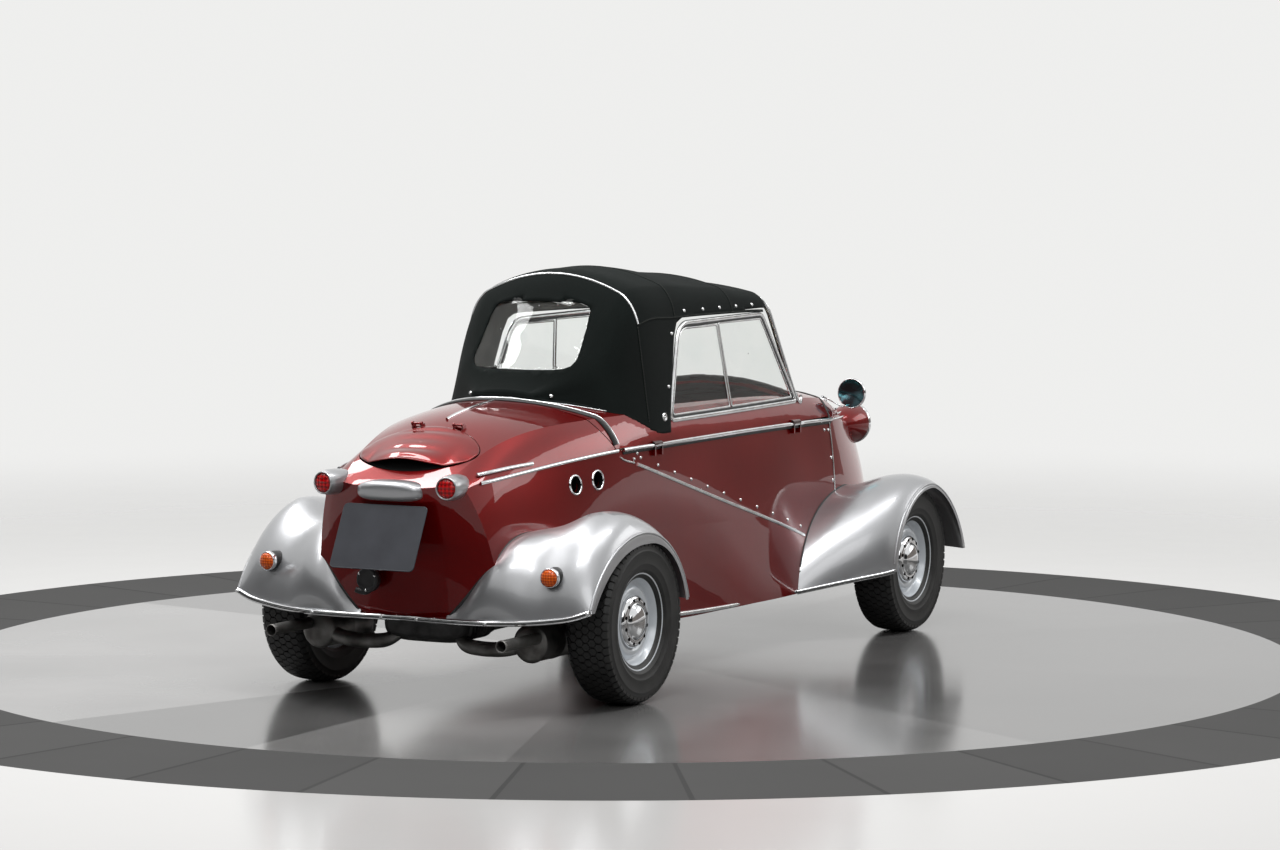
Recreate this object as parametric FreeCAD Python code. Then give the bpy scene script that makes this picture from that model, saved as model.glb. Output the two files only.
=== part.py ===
import FreeCAD, Part
import math
import os

# Tandem two-seat bubble car, full size, in millimetres.
# +X points forward, +Y to the car's left, +Z up; the origin is on the ground, midway between the axles.

V = FreeCAD.Vector

# ---- driving dimensions ----
wheelbase = 1890.0
track_front = 1110.0
track_rear = 1040.0
tyre_radius = 241.0
tyre_width = 138.0
tyre_shoulder = 26.0
rim_radius = 127.0
rim_flange_radius = 145.0
rim_width = 92.0
dish_thickness = 8.0
dish_offset = 12.0
hub_radius = 44.0
hub_length = 76.0
axle_radius = 15.0
running_clearance = 0.05
seat_clearance = 0.3
far = 2000.0

wall = 14.0
panel_gap = 5.0
belt_height = 710.0
tub_rear = -590.0
tub_front = 835.0

kingpin_inset = 60.0
kingpin_radius = 10.0
kingpin_length = 92.0
knuckle_radius = 22.0
stub_start = 10.0
axle_end_y = 14.0
yoke_thickness = 12.0
yoke_half = 22.0
yoke_inboard = 62.0
yoke_outboard = 16.0
yoke_web = 22.0
arm_radius = 24.0
arm_inner_y = 300.0

canopy_front_radius = 522.0
canopy_front_x = 980.0
canopy_rear_low_x = -655.0
canopy_rear_top_x = -790.0
canopy_rear_top_z = 865.0
hinge_y = -352.0
hinge_rise = 4.0
hinge_places = (-420.0, 560.0)
hinge_notch = 10.0
hinge_pin_radius = 5.0
hinge_eye_radius = 9.0
hinge_eye_length = 40.0
hinge_ear_thickness = 6.0
hinge_ear_clearance = 2.0
hinge_ear_back = 9.0
hinge_ear_front = 14.0
hinge_ear_depth = 30.0
hinge_leaf = 22.0
hinge_pin_end = 3.0

front_axle_x = wheelbase / 2
rear_axle_x = -wheelbase / 2

# ---- body sections, from the tail to the nose ----
# columns: x, then half width and height at sill, flank, belt and shoulder, then the crown's height
body_stations = [
    (-1425, 300, 262, 262, 430, 200, 600, 140, 630, 640),
    (-1310, 332, 266, 290, 440, 243, 660, 185, 695, 704),
    (-1120, 338, 268, 316, 450, 275, 675, 215, 765, 804),
    (-880, 345, 256, 338, 450, 315, 695, 262, 800, 850),
    (-700, 348, 216, 347, 450, 337, 706, 288, 806, 866),
    (-560, 350, 188, 351, 450, 345, 710, 303, 808, 873),
    (0, 384, 165, 372, 440, 347, 710, 304, 806, 874),
    (466, 408, 165, 386, 430, 345, 708, 302, 796, 858),
    (700, 376, 165, 372, 430, 343, 706, 298, 784, 834),
    (900, 352, 175, 366, 440, 336, 702, 282, 770, 806),
    (1120, 318, 205, 334, 440, 285, 668, 218, 726, 762),
    (1330, 236, 240, 250, 430, 208, 596, 150, 650, 682),
    (1450, 150, 275, 158, 415, 128, 520, 88, 556, 576),
    (1504, 60, 320, 64, 400, 50, 445, 34, 460, 468),
]

# the tail's rear face leans back: height, x at the centre and x at the sides, low down and high up
rear_face_half = 360.0
rear_face_low = (100.0, -1298.0, -1252.0)
rear_face_high = (960.0, -1470.0, -1310.0)

# ---- soft top and window form, from the windscreen to the rear hem ----
# columns: x, then half width and height at base, side and corner, then the top's height
hood_stations = [
    (690, 302, 740, 286, 1060, 240, 1110, 1132),
    (460, 310, 740, 294, 1080, 246, 1142, 1172),
    (206, 312, 740, 297, 1086, 250, 1165, 1208),
    (-200, 314, 740, 299, 1086, 252, 1186, 1243),
    (-430, 312, 740, 292, 1070, 238, 1166, 1226),
    (-600, 272, 780, 244, 900, 190, 985, 1036),
    (-740, 130, 840, 112, 866, 84, 880, 888),
]
hood_thickness = 10.0
frame_inset = 1.5
frame_thickness = 13.0
frame_bar = 22.0
glass_thickness = 4.0
screen_base = (652.0, 790.0)
screen_top = (448.0, 1166.0)
# the side window's outline in side view, x and z at its corners
side_window = [(-280, 778), (643, 794), (424, 1068), (-164, 1061)]
window_radii = [30.0, 22.0, 20.0, 55.0]
# the frame's own outline, below and outside the window
frame_ring = [(-302, 740), (-184, 1082), (444, 1088), (672, 740)]
frame_top = 1090.0
glass_inset = 15.0
window_post_x = 128.0
post_lean = 36.0
cockpit_rear = -560.0
cockpit_front = 628.0
cockpit_half = 284.0
rear_window_low = (-598.0, 955.0)
rear_window_high = (-450.0, 1140.0)
rear_window_half = 160.0

# the left side's panel that opens with the canopy, in side view
door_outline = [(-540, 720), (-540, 668), (560, 350), (740, 452), (800, 452), (818, 720)]

# ---- fenders ----
fender_wall = 8.0
front_via_share = 0.65
# columns: y, then x and z of the rear foot, the crown and the front foot,
# then how far along the rear arc its middle lies, how high it lies there, and how high the front arc's lies
front_fender_stations = [
    (330, 430, 160, 930, 478, 1230, 265, 0.43, 0.74, 0.60),
    (400, 462, 168, 943, 484, 1255, 260, 0.43, 0.76, 0.60),
    (480, 532, 185, 985, 502, 1285, 255, 0.43, 0.86, 0.66),
    (570, 612, 206, 1005, 516, 1290, 252, 0.43, 0.91, 0.68),
    (620, 656, 217, 1008, 508, 1282, 250, 0.43, 0.90, 0.66),
    (656, 694, 226, 1008, 484, 1268, 250, 0.43, 0.84, 0.58),
]
rear_fender_stations = [
    (145, -1334, 262, -1060, 325, -745, 290, 0.20, 0.85, 0.66),
    (220, -1343, 262, -1060, 410, -745, 296, 0.20, 0.85, 0.70),
    (290, -1347, 262, -1060, 478, -745, 300, 0.20, 0.84, 0.72),
    (400, -1335, 268, -1060, 530, -700, 292, 0.36, 0.76, 0.72),
    (490, -1316, 276, -1062, 566, -660, 286, 0.43, 0.74, 0.72),
    (545, -1304, 286, -1050, 558, -655, 284, 0.43, 0.74, 0.72),
    (598, -1290, 304, -940, 478, -692, 281, 0.43, 0.74, 0.72),
]

# ---- running gear, lamps and fittings ----
vent_places = ((-884.0, 625.0), (-770.0, 631.0))
vent_radius = 25.0
silencer_radius = 55.0
silencer_length = 246.0
silencer_rear = (-1230.0, 358.0, 195.0)
tail_pipe_radius = 17.5
tail_pipe_bore = 14.0
tail_pipe_end = (-1433.0, 385.0, 214.0)
header_radius = 21.0
engine_box = (-1060.0, -590.0, 150.0, 205.0, 560.0)
drum_radius = 88.0
drum_width = 34.0
half_shaft_radius = 18.0
shaft_clearance = 12.0
header_bends = [(-1150.0, 95.0, 220.0), (-1195.0, 130.0, 172.0), (-1205.0, 260.0, 172.0), (-1190.0, 330.0, 190.0)]
header_start = (90.0, 300.0)

lens_place = (-1426.0, 206.0, 653.0)
lens_radius = 25.5
lamp_ring_radius = 31.0
lamp_body_radius = 37.0
lamp_body_length = 165.0
indicator_place = (-1324.0, 475.0, 401.0)
indicator_radius = 23.0
plate_top = (-1417.0, 598.0)
plate_bottom = (-1504.0, 420.0)
plate_width = 280.0
plate_thickness = 3.0
plate_round = 14.0
strut_places = (-70.0, 70.0)
strut_radius = 7.0
strut_rise = 70.0
strut_front_x = -1300.0
plate_lamp_place = (-1405.0, 0.0, 634.0)
plate_lamp_width = 220.0
plate_lamp_radius = 33.0
plate_lamp_round = 14.0
horn_place = (-1400.0, 79.0, 375.0)
horn_radius = 36.0
headlamp_place = (1238.0, 246.0, 664.0)
headlamp_radius = 70.0
headlamp_length = 150.0
mirror_place = (1012.0, -345.0, 782.0)
mirror_radius = 51.0
mirror_stem_radius = 6.0
mirror_foot = (1070.0, -240.0, 700.0)

# ---- cabin ----
seat_half = 205.0
front_seat = (-90.0, 330.0, 330.0, 430.0)
rear_seat = (-520.0, -215.0, 310.0, 400.0)
bar_pivot = (560.0, 0.0, 560.0)
bar_grip = (400.0, 0.0, 660.0)
bar_half = 215.0
bar_radius = 12.0
grip_radius = 16.0
grip_sweep = (75.0, 20.0, 12.0)
column_end_x = 700.0
dash_place = (590.0, 618.0)
dash_low = 598.0
dash_high = 700.0
dash_half = 290.0
dash_post_half = 26.0
dash_post_low = 500.0
front_backrest = (790.0, 70.0)
rear_backrest = (690.0, 20.0)
cushion_rise = 10.0
cushion_back = 80.0
backrest_thickness = 70.0
seat_base_rear_inset = 30.0
seat_base_front_inset = 60.0
seat_base_side_inset = 40.0

# ---- tail lid ----
lid_front_x = -1128.0
lid_rear_x = -1335.0
lid_half = 195.0
scoop_radius = 128.0
scoop_wall = 8.0
# the ridge of the scoop over the lid, x and z at its front and rear
scoop_front = (-1150.0, 784.0)
scoop_rear = (-1335.0, 735.0)
lid_hinge_y = 70.0
lid_hinge_z = 809.0
lid_eye_length = 24.0
lid_eye_radius = 6.0
lid_pin_radius = 3.0
lid_ear_thickness = 5.0
lid_ear_clearance = 1.0
lid_leaf = 26.0
lid_notch = (30.0, 11.0, 40.0, 20.0)
lid_ear = (2.0, 16.0, 22.0)
lid_pin_end = 2.0
lid_room = (-1500.0, -1000.0, -300.0, 300.0, 560.0, 1200.0)

# ---- helpers ----
def block(x0, x1, y0, y1, z0, z1):
    return Part.makeBox(x1 - x0, y1 - y0, z1 - z0, V(x0, y0, z0))


def rod(start, end, radius):
    start = V(*start)
    direction = V(*end) - start
    return Part.makeCylinder(radius, direction.Length, start, direction)


def side_prism(points, y0, y1):
    """A side-view outline (x, z) carried across from y0 to y1."""
    wire = Part.makePolygon([V(x, y0, z) for x, z in points] + [V(points[0][0], y0, points[0][1])])
    return Part.Face(wire).extrude(V(0, y1 - y0, 0))


def arc(start, middle, end):
    return Part.Arc(start, middle, end).toShape()


def bulged(start, end, bulge):
    """An arc between two points of one section, pushed outwards from the body's centre by bulge."""
    middle = (start + end) * 0.5
    chord = end - start
    outward = V(0, chord.z, -chord.y).normalize()
    if outward.y * middle.y < 0:
        outward = outward * -1
    return arc(start, middle + outward * bulge, end)


def mirrored(shape):
    return shape.mirror(V(0, 0, 0), V(0, 1, 0))


def largest(shape):
    return max(shape.Solids, key=lambda solid: solid.Volume)


def save(name, shape):
    os.makedirs("parts", exist_ok=True)
    shape.exportStep("parts/" + name + ".step")


def body_section(station, inset, drop):
    """One closed section of the body, moved in by inset and down at the sill by drop."""
    x, sill_y, sill_z, flank_y, flank_z, belt_y, belt_z, shoulder_y, shoulder_z, crown_z = station
    right = [
        V(x, -sill_y + inset, sill_z - drop),
        V(x, -flank_y + inset, flank_z),
        V(x, -belt_y + inset, belt_z - inset * 0.3),
        V(x, -shoulder_y + inset * 0.6, shoulder_z - inset * 0.8),
    ]
    left = [V(p.x, -p.y, p.z) for p in right]
    crown = V(x, 0, crown_z - inset)
    edges = [
        Part.makeLine(left[0], right[0]),
        Part.makeLine(right[0], right[1]),
        bulged(right[1], right[2], 5),
        bulged(right[2], right[3], 6),
        arc(right[3], crown, left[3]),
        bulged(left[3], left[2], 6),
        bulged(left[2], left[1], 5),
        Part.makeLine(left[1], left[0]),
    ]
    return Part.Wire(edges)


def body_form(inset, drop):
    wires = [body_section(station, inset, drop) for station in body_stations]
    return Part.makeLoft(wires, True, False)



def hood_section(station, inset):
    x, base_y, base_z, side_y, side_z, corner_y, corner_z, top_z = station
    right = [
        V(x, -base_y + inset, base_z - inset),
        V(x, -side_y + inset, side_z),
        V(x, -corner_y + inset * 0.7, corner_z - inset * 0.7),
    ]
    left = [V(p.x, -p.y, p.z) for p in right]
    top = V(x, 0, top_z - inset)
    edges = [
        Part.makeLine(left[0], right[0]),
        Part.makeLine(right[0], right[1]),
        bulged(right[1], right[2], 7),
        arc(right[2], top, left[2]),
        bulged(left[2], left[1], 7),
        Part.makeLine(left[1], left[0]),
    ]
    return Part.Wire(edges)


def hood_form(inset):
    """The closed form inside the soft top, moved in by inset; a moved-in form also ends short at the rear."""
    stations = list(hood_stations)
    wires = [hood_section(station, inset) for station in stations]
    form = Part.makeLoft(wires, True, True)
    return form.common(block(-735 + inset, 700, -400, 400, 0, 1400))


def fender_form(stations, inset, outward):
    """A closed arch form on the left side, moved in by inset and carried outward past its open side."""
    wires = []
    for y, rear_x, rear_z, crown_x, crown_z, front_x, front_z, rear_share, rear_full, front_full in stations:
        rear = V(rear_x + inset, y, rear_z - 3 * inset)
        crown = V(crown_x, y, crown_z - inset)
        front = V(front_x - inset, y, front_z - 3 * inset)
        rear_via = V(rear_x + (crown_x - rear_x) * rear_share + inset * 0.7, y,
                     rear_z + (crown_z - rear_z) * rear_full - inset * 0.7)
        front_via = V(crown_x + (front_x - crown_x) * front_via_share - inset * 0.7, y,
                      front_z + (crown_z - front_z) * front_full - inset * 0.7)
        edges = [arc(rear, rear_via, crown), arc(crown, front_via, front), Part.makeLine(front, rear)]
        wires.append(Part.Wire(edges))
    form = Part.makeLoft(wires, True, False)
    if outward > 0:
        form = form.fuse(Part.Face(wires[-1]).extrude(V(0, outward, 0)))
    return form


def revolved(points, centre, outboard):
    """A profile of (radius, offset) points turned about the wheel's axis; offset grows outboard."""
    places = [V(centre.x + radius, centre.y + offset * outboard, centre.z) for radius, offset in points]
    wire = Part.makePolygon(places + [places[0]])
    return Part.Face(wire).revolve(centre, V(0, 1, 0), 360)


# ---- body forms ----
outer = body_form(0, 0)
inner = body_form(wall, -wall)
inner_open = body_form(wall, 120)


def rear_outline(z, centre_x, side_x):
    """The tail's plan outline at one height: an arc across the rear, open far ahead."""
    left = V(side_x, -rear_face_half, z)
    right = V(side_x, rear_face_half, z)
    edges = [arc(left, V(centre_x, 0, z), right)]
    corners = [right, V(2000, 900, z), V(2000, -900, z), left]
    for start, end in zip(corners, corners[1:]):
        edges.append(Part.makeLine(start, end))
    return Part.Wire(edges)


lower_arc = rear_outline(*rear_face_low)
upper_arc = rear_outline(*rear_face_high)
rear_face_form = Part.makeLoft([lower_arc, upper_arc], True, True)
outer_tail = outer.common(rear_face_form).common(block(-1500, tub_rear, -700, 700, 0, 1000))
hollow_form = rear_face_form.translated(V(wall, 0, 0))
tail_hollow = inner_open.common(hollow_form).common(block(-1500, tub_rear, -700, 700, 0, 1000))

band_slope = (canopy_rear_top_x - canopy_rear_low_x) / (canopy_rear_top_z - belt_height)


def ahead_of_band(shift):
    """Everything above the belt and ahead of the canopy's leaning rear edge, moved forward by shift."""
    low_z = belt_height - 300
    high_z = 1400
    low_x = canopy_rear_low_x + (low_z - belt_height) * band_slope + shift
    high_x = canopy_rear_low_x + (high_z - belt_height) * band_slope + shift
    return side_prism([(low_x, low_z), (high_x, high_z), (3000, high_z), (3000, low_z)], -800, 800)


def front_round(shrink):
    centre_x = canopy_front_x - canopy_front_radius
    cylinder = Part.makeCylinder(canopy_front_radius - shrink, 2000, V(centre_x, 0, 0))
    return cylinder.fuse(block(-2000, centre_x, -800, 800, 0, 2000))


above_belt = block(-2000, 2000, -900, 900, belt_height, 2000)
canopy_zone = above_belt.common(ahead_of_band(0)).common(front_round(0))
canopy_fit = block(-2000, 2000, -900, 900, belt_height + panel_gap, 2000)
canopy_fit = canopy_fit.common(ahead_of_band(panel_gap)).common(front_round(panel_gap))

door_zone = side_prism(door_outline, 100, 900)
rear_top, rear_low, front_low, step_rear, step_front, front_top = door_outline
door_slope = (front_low[1] - rear_low[1]) / (front_low[0] - rear_low[0])
step_slope = (step_rear[1] - front_low[1]) / (step_rear[0] - front_low[0])
low_rise = panel_gap * math.hypot(1, door_slope)
step_rise = panel_gap * math.hypot(1, step_slope)


def on_slope(x, place, slope, rise):
    """A point of the door's lower edge, raised from its line through place."""
    return (x, place[1] + (x - place[0]) * slope + rise)


corner_x = front_low[0] + (low_rise - step_rise) / (step_slope - door_slope)
flat_z = step_rear[1] + panel_gap
flat_x = step_rear[0] + (flat_z - step_rear[1] - step_rise) / step_slope
door_inset = [
    (rear_top[0] + panel_gap, rear_top[1] + 10),
    on_slope(rear_low[0] + panel_gap, rear_low, door_slope, low_rise),
    on_slope(corner_x, front_low, door_slope, low_rise),
    (flat_x, flat_z),
    (step_front[0] - panel_gap, flat_z),
    (front_top[0] - panel_gap, front_top[1] + 10),
]
door_fit = side_prism(door_inset, 100, 900)

# ---- fixed body ----
tail = outer_tail.cut(tail_hollow).cut(canopy_zone)
for x, z in vent_places:
    tail = tail.cut(rod((x, -500, z), (x, 500, z), vent_radius))
tub_outer = outer.common(block(tub_rear, tub_front, -700, 700, 0, belt_height))
tub_hollow = inner.common(block(tub_rear + wall, tub_front, -700, 700, 0, 2000))
tub = tub_outer.cut(tub_hollow).cut(door_zone)
nose = outer.cut(inner).common(block(tub_front, 1600, -700, 700, 0, 1000)).cut(canopy_zone)

# ---- canopy ----
shell = outer.cut(inner)
cockpit = block(cockpit_rear, cockpit_front, -cockpit_half, cockpit_half, 0, 2000)
canopy_base = shell.common(canopy_fit).cut(cockpit)
door = shell.common(door_fit).common(block(-2000, 2000, 100, 900, 0, belt_height + panel_gap))
canopy_base = canopy_base.fuse(door).removeSplitter()
canopy_base = canopy_base.cut(inner)

hinge_z = belt_height + hinge_rise
half_eye = hinge_eye_length / 2
ear_step = hinge_ear_thickness + seat_clearance


def along_hinge(x0, x1, radius):
    return rod((x0, hinge_y, hinge_z), (x1, hinge_y, hinge_z), radius)


for x in hinge_places:
    rear_x, front_x = x - half_eye, x + half_eye
    notch_low = belt_height - hinge_notch
    tub = tub.cut(block(rear_x, front_x, hinge_y - 15, hinge_y + 40, notch_low, belt_height + 1))
    for ear_x in (rear_x - ear_step, front_x + seat_clearance):
        ear_end = ear_x + hinge_ear_thickness
        ear_rear, ear_front = hinge_y - hinge_ear_back, hinge_y + hinge_ear_front
        ear = block(ear_x, ear_end, ear_rear, ear_front, belt_height - hinge_ear_depth, belt_height)
        tub = tub.fuse(ear.fuse(along_hinge(ear_x, ear_end, hinge_eye_radius)))
    tub = tub.fuse(along_hinge(rear_x - hinge_pin_end, front_x + hinge_pin_end, hinge_pin_radius))
    leaf = block(rear_x, front_x, hinge_y, hinge_y + hinge_leaf, hinge_z, hinge_z + hinge_eye_radius)
    canopy_base = canopy_base.fuse(along_hinge(rear_x, front_x, hinge_eye_radius).fuse(leaf))
    canopy_base = canopy_base.cut(along_hinge(x - 60, x + 60, hinge_pin_radius + running_clearance))
    room_length = hinge_ear_thickness + hinge_ear_clearance
    for room_x in (rear_x - room_length, front_x):
        room = along_hinge(room_x, room_x + room_length, hinge_eye_radius + hinge_ear_clearance)
        canopy_base = canopy_base.cut(room)

hood_outer = hood_form(0)
hood_inner = hood_form(hood_thickness)
window_zone = side_prism([(-300, 700), (-184, 1076), (452, 1082), (720, 1082), (720, 700)], -500, 500)
screen_dx = screen_top[0] - screen_base[0]
screen_dz = screen_top[1] - screen_base[1]
screen_length = math.hypot(screen_dx, screen_dz)
screen_normal = (screen_dz / screen_length, -screen_dx / screen_length)


def screen_slab(near, far):
    """The leaning slab of the windscreen between two offsets from its outer plane."""
    points = []
    for share, offset in ((-5, near), (6, near), (6, far), (-5, far)):
        points.append((screen_base[0] + screen_dx * share + screen_normal[0] * offset,
                       screen_base[1] + screen_dz * share + screen_normal[1] * offset))
    return side_prism(points, -500, 500)


behind_screen = screen_slab(-2000, -frame_thickness - 0.3)
hood = hood_outer.cut(hood_inner).cut(window_zone).common(behind_screen).cut(outer)
rear_window_zone = block(-700, -425, -rear_window_half, rear_window_half, rear_window_low[1], rear_window_high[1])
rear_window = hood_form(3).cut(hood_form(7)).common(rear_window_zone)
hood = largest(hood.cut(rear_window_zone))



def window_prism(corners, radii):
    """A side-view outline with rounded corners, carried across the whole car."""
    edges = []
    starts, ends = [], []
    for number, (x, z) in enumerate(corners):
        corner = V(x, -500, z)
        before = V(corners[number - 1][0], -500, corners[number - 1][1])
        ahead = corners[(number + 1) % len(corners)]
        after = V(ahead[0], -500, ahead[1])
        inward = (before - corner).normalize()
        outward = (after - corner).normalize()
        half_angle = inward.getAngle(outward) / 2
        reach = radii[number] / math.tan(half_angle)
        middle = corner + (inward + outward).normalize() * (radii[number] / math.sin(half_angle) - radii[number])
        starts.append(corner + inward * reach)
        ends.append(corner + outward * reach)
        edges.append(arc(starts[number], middle, ends[number]))
    for number in range(len(corners)):
        edges.append(Part.makeLine(ends[number - 1], starts[number]))
    wire = Part.Wire(Part.__sortEdges__(edges))
    return Part.Face(wire).extrude(V(0, 1000, 0))


frame_step = frame_inset + hood_thickness
frame_outer = hood_form(frame_step)
frame_inner = hood_form(frame_step + frame_thickness)
bar_inner = hood_form(frame_step + frame_bar)
window_open = window_prism(side_window, window_radii)
window_frame = frame_outer.cut(frame_inner).common(side_prism(frame_ring, -500, 500))
window_frame = window_frame.common(block(-400, 800, -400, 400, 0, frame_top)).cut(window_open)
window_frame = window_frame.common(behind_screen)
screen_frame = screen_slab(-frame_thickness, 0).common(frame_outer).cut(bar_inner)
post_low, post_high = window_post_x - post_lean, window_post_x - 20
post_outline = [(window_post_x - 8, 740), (window_post_x + 8, 740), (post_high, 1080), (post_low, 1080)]
post = side_prism(post_outline, -500, 500).common(frame_outer).cut(frame_inner)
window_frame = window_frame.fuse(screen_frame).fuse(post).cut(outer)
glass = hood_form(glass_inset).cut(hood_form(glass_inset + glass_thickness)).common(window_open)
glass = glass.common(behind_screen).cut(outer).cut(window_frame)
windscreen = screen_slab(-9, -5).common(bar_inner).cut(outer)

# ---- tail lid ----
oval_centre_x = (lid_front_x + lid_rear_x) / 2


def oval(grow):
    ellipse = Part.Ellipse(V(oval_centre_x, 0, 0), lid_half + grow, (lid_front_x - lid_rear_x) / 2 + grow)
    face = Part.Face(Part.Wire(ellipse.toShape()))
    face.rotate(V(oval_centre_x, 0, 0), V(0, 0, 1), 90)
    return face.extrude(V(0, 0, 1200))


tail = tail.cut(oval(0).common(block(*lid_room)))


def scoop_form(radius):
    """A round ridge that rises out of the lid towards the rear."""
    front = V(scoop_front[0], 0, scoop_front[1] - scoop_radius)
    run = V(scoop_rear[0], 0, scoop_rear[1] - scoop_radius) - front
    return Part.makeCylinder(radius, 2 * run.Length, front, run)


lid = outer_tail.fuse(scoop_form(scoop_radius)).cut(tail_hollow).cut(scoop_form(scoop_radius - scoop_wall))
lid = largest(lid.common(oval(-panel_gap)).common(block(*lid_room)))
half_lid_eye = lid_eye_length / 2
notch_rear, notch_front, notch_low, notch_high = lid_notch
ear_rear, ear_front, ear_low = lid_ear
lid_ear_step = lid_ear_thickness + seat_clearance


def across_lid(y0, y1, radius):
    return rod((lid_front_x, y0, lid_hinge_z), (lid_front_x, y1, lid_hinge_z), radius)


for y in (-lid_hinge_y, lid_hinge_y):
    right_y, left_y = y - half_lid_eye, y + half_lid_eye
    leaf = block(lid_front_x - lid_leaf, lid_front_x, right_y, left_y, lid_hinge_z - lid_leaf, lid_hinge_z - 1)
    lid = lid.fuse(across_lid(right_y, left_y, lid_eye_radius).fuse(leaf))
    lid = lid.cut(across_lid(y - 60, y + 60, lid_pin_radius + running_clearance))
    notch_sides = (right_y - lid_ear_clearance, left_y + lid_ear_clearance)
    tail = tail.cut(block(lid_front_x - notch_rear, lid_front_x + notch_front, *notch_sides,
                          lid_hinge_z - notch_low, lid_hinge_z + notch_high))
    for ear_y in (right_y - lid_ear_step, left_y + seat_clearance):
        ear_end = ear_y + lid_ear_thickness
        ear = block(lid_front_x - ear_rear, lid_front_x + ear_front, ear_y, ear_end, lid_hinge_z - ear_low, lid_hinge_z)
        tail = tail.fuse(ear.fuse(across_lid(ear_y, ear_end, lid_eye_radius)))
    tail = tail.fuse(across_lid(right_y - lid_pin_end, left_y + lid_pin_end, lid_pin_radius))

# ---- fenders ----
fenders = {}
for place, stations in (("front", front_fender_stations), ("rear", rear_fender_stations)):
    form = fender_form(stations, 0, 0)
    hollow = fender_form(stations, fender_wall, 60)
    fenders[place] = largest(form.cut(hollow).cut(outer if place == "front" else outer_tail))

# ---- wheels, knuckles and axles ----
half_tyre = tyre_width / 2
half_rim = rim_width / 2
shoulder_radius = tyre_radius - tyre_shoulder
bead_radius = rim_flange_radius + 2
tyre_side = [
    (rim_radius, half_rim), (bead_radius, half_rim), (180, half_tyre - 3), (200, half_tyre),
    (shoulder_radius, half_tyre - 4), (tyre_radius - 6, half_tyre - 16), (tyre_radius, half_tyre - 34),
]
tyre_profile = [(radius, -offset) for radius, offset in tyre_side] + tyre_side[::-1]
bore_radius = axle_radius + running_clearance
rim_profile = [
    (rim_flange_radius, -half_rim - 5), (rim_flange_radius, -half_rim - seat_clearance),
    (rim_radius - seat_clearance, -half_rim - seat_clearance), (rim_radius - seat_clearance, half_rim + seat_clearance),
    (rim_flange_radius, half_rim + seat_clearance), (rim_flange_radius, half_rim + 5),
    (rim_radius - 8, half_rim + 3), (rim_radius - 10, 10), (96, 22), (78, 26), (60, 16), (bore_radius, 16),
    (bore_radius, -30), (hub_radius, -30), (hub_radius, 4), (78, 12), (92, 10), (rim_radius - 12, -4),
    (rim_radius - 8, -half_rim - 3),
]
cap_profile = [
    (0, 16.3), (58, 16.3), (58, 26.3), (79, 26.3), (80, 28), (77, 31), (64, 33), (58, 37), (50, 43), (36, 50),
    (18, 54.5), (0, 56),
]
wheel_places = [
    ("front_left", front_axle_x, track_front / 2, 1), ("front_right", front_axle_x, -track_front / 2, -1),
    ("rear_left", rear_axle_x, track_rear / 2, 1), ("rear_right", rear_axle_x, -track_rear / 2, -1),
]
for name, x, y, outboard in wheel_places:
    centre = V(x, y, tyre_radius)
    save("tyre_" + name, revolved(tyre_profile, centre, outboard))
    save("rim_" + name, revolved(rim_profile, centre, outboard))
    save("hubcap_" + name, revolved(cap_profile, centre, outboard))

kingpin_y = track_front / 2 - kingpin_inset
half_pin = kingpin_length / 2
rear_of_yoke, front_of_yoke = front_axle_x - yoke_half, front_axle_x + yoke_half


def upright(reach, radius):
    """A rod along the kingpin, reaching as far above the axle as below it."""
    return rod((front_axle_x, kingpin_y, tyre_radius - reach), (front_axle_x, kingpin_y, tyre_radius + reach), radius)


def on_axle(x, y0, y1, radius):
    return rod((x, y0, tyre_radius), (x, y1, tyre_radius), radius)


knuckle = upright(half_pin, knuckle_radius)
knuckle = knuckle.fuse(on_axle(front_axle_x, kingpin_y + stub_start, track_front / 2 + axle_end_y, axle_radius))
knuckle = knuckle.cut(upright(tyre_radius, kingpin_radius + running_clearance))
yoke_reach = half_pin + seat_clearance
yoke_end = yoke_reach + yoke_thickness
inboard_y = kingpin_y - yoke_inboard
yoke = upright(yoke_end, kingpin_radius)
for low in (tyre_radius - yoke_end, tyre_radius + yoke_reach):
    yoke = yoke.fuse(block(rear_of_yoke, front_of_yoke, inboard_y, kingpin_y + yoke_outboard, low, low + yoke_thickness))
web = block(rear_of_yoke, front_of_yoke, inboard_y, inboard_y + yoke_web, tyre_radius - yoke_end, tyre_radius + yoke_end)
arm = on_axle(front_axle_x, arm_inner_y, inboard_y + yoke_web / 2, arm_radius)
front_arm = yoke.fuse(web).fuse(arm).cut(outer)
save("knuckle_left", knuckle)
save("knuckle_right", mirrored(knuckle))
save("front_axle", Part.makeCompound([front_arm, mirrored(front_arm)]))

engine_rear, engine_front, engine_half, engine_low, engine_high = engine_box
engine = block(engine_rear, engine_front, -engine_half, engine_half, engine_low, engine_high)
drum_y = track_rear / 2 - 34
half_shaft = on_axle(rear_axle_x, engine_half, drum_y, half_shaft_radius)
half_shaft = half_shaft.fuse(on_axle(rear_axle_x, drum_y - 26, track_rear / 2 + axle_end_y, axle_radius))
half_shaft = half_shaft.fuse(on_axle(rear_axle_x, drum_y - drum_width, drum_y, drum_radius))
save("engine", engine)
save("rear_axle", Part.makeCompound([half_shaft, mirrored(half_shaft)]))

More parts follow.
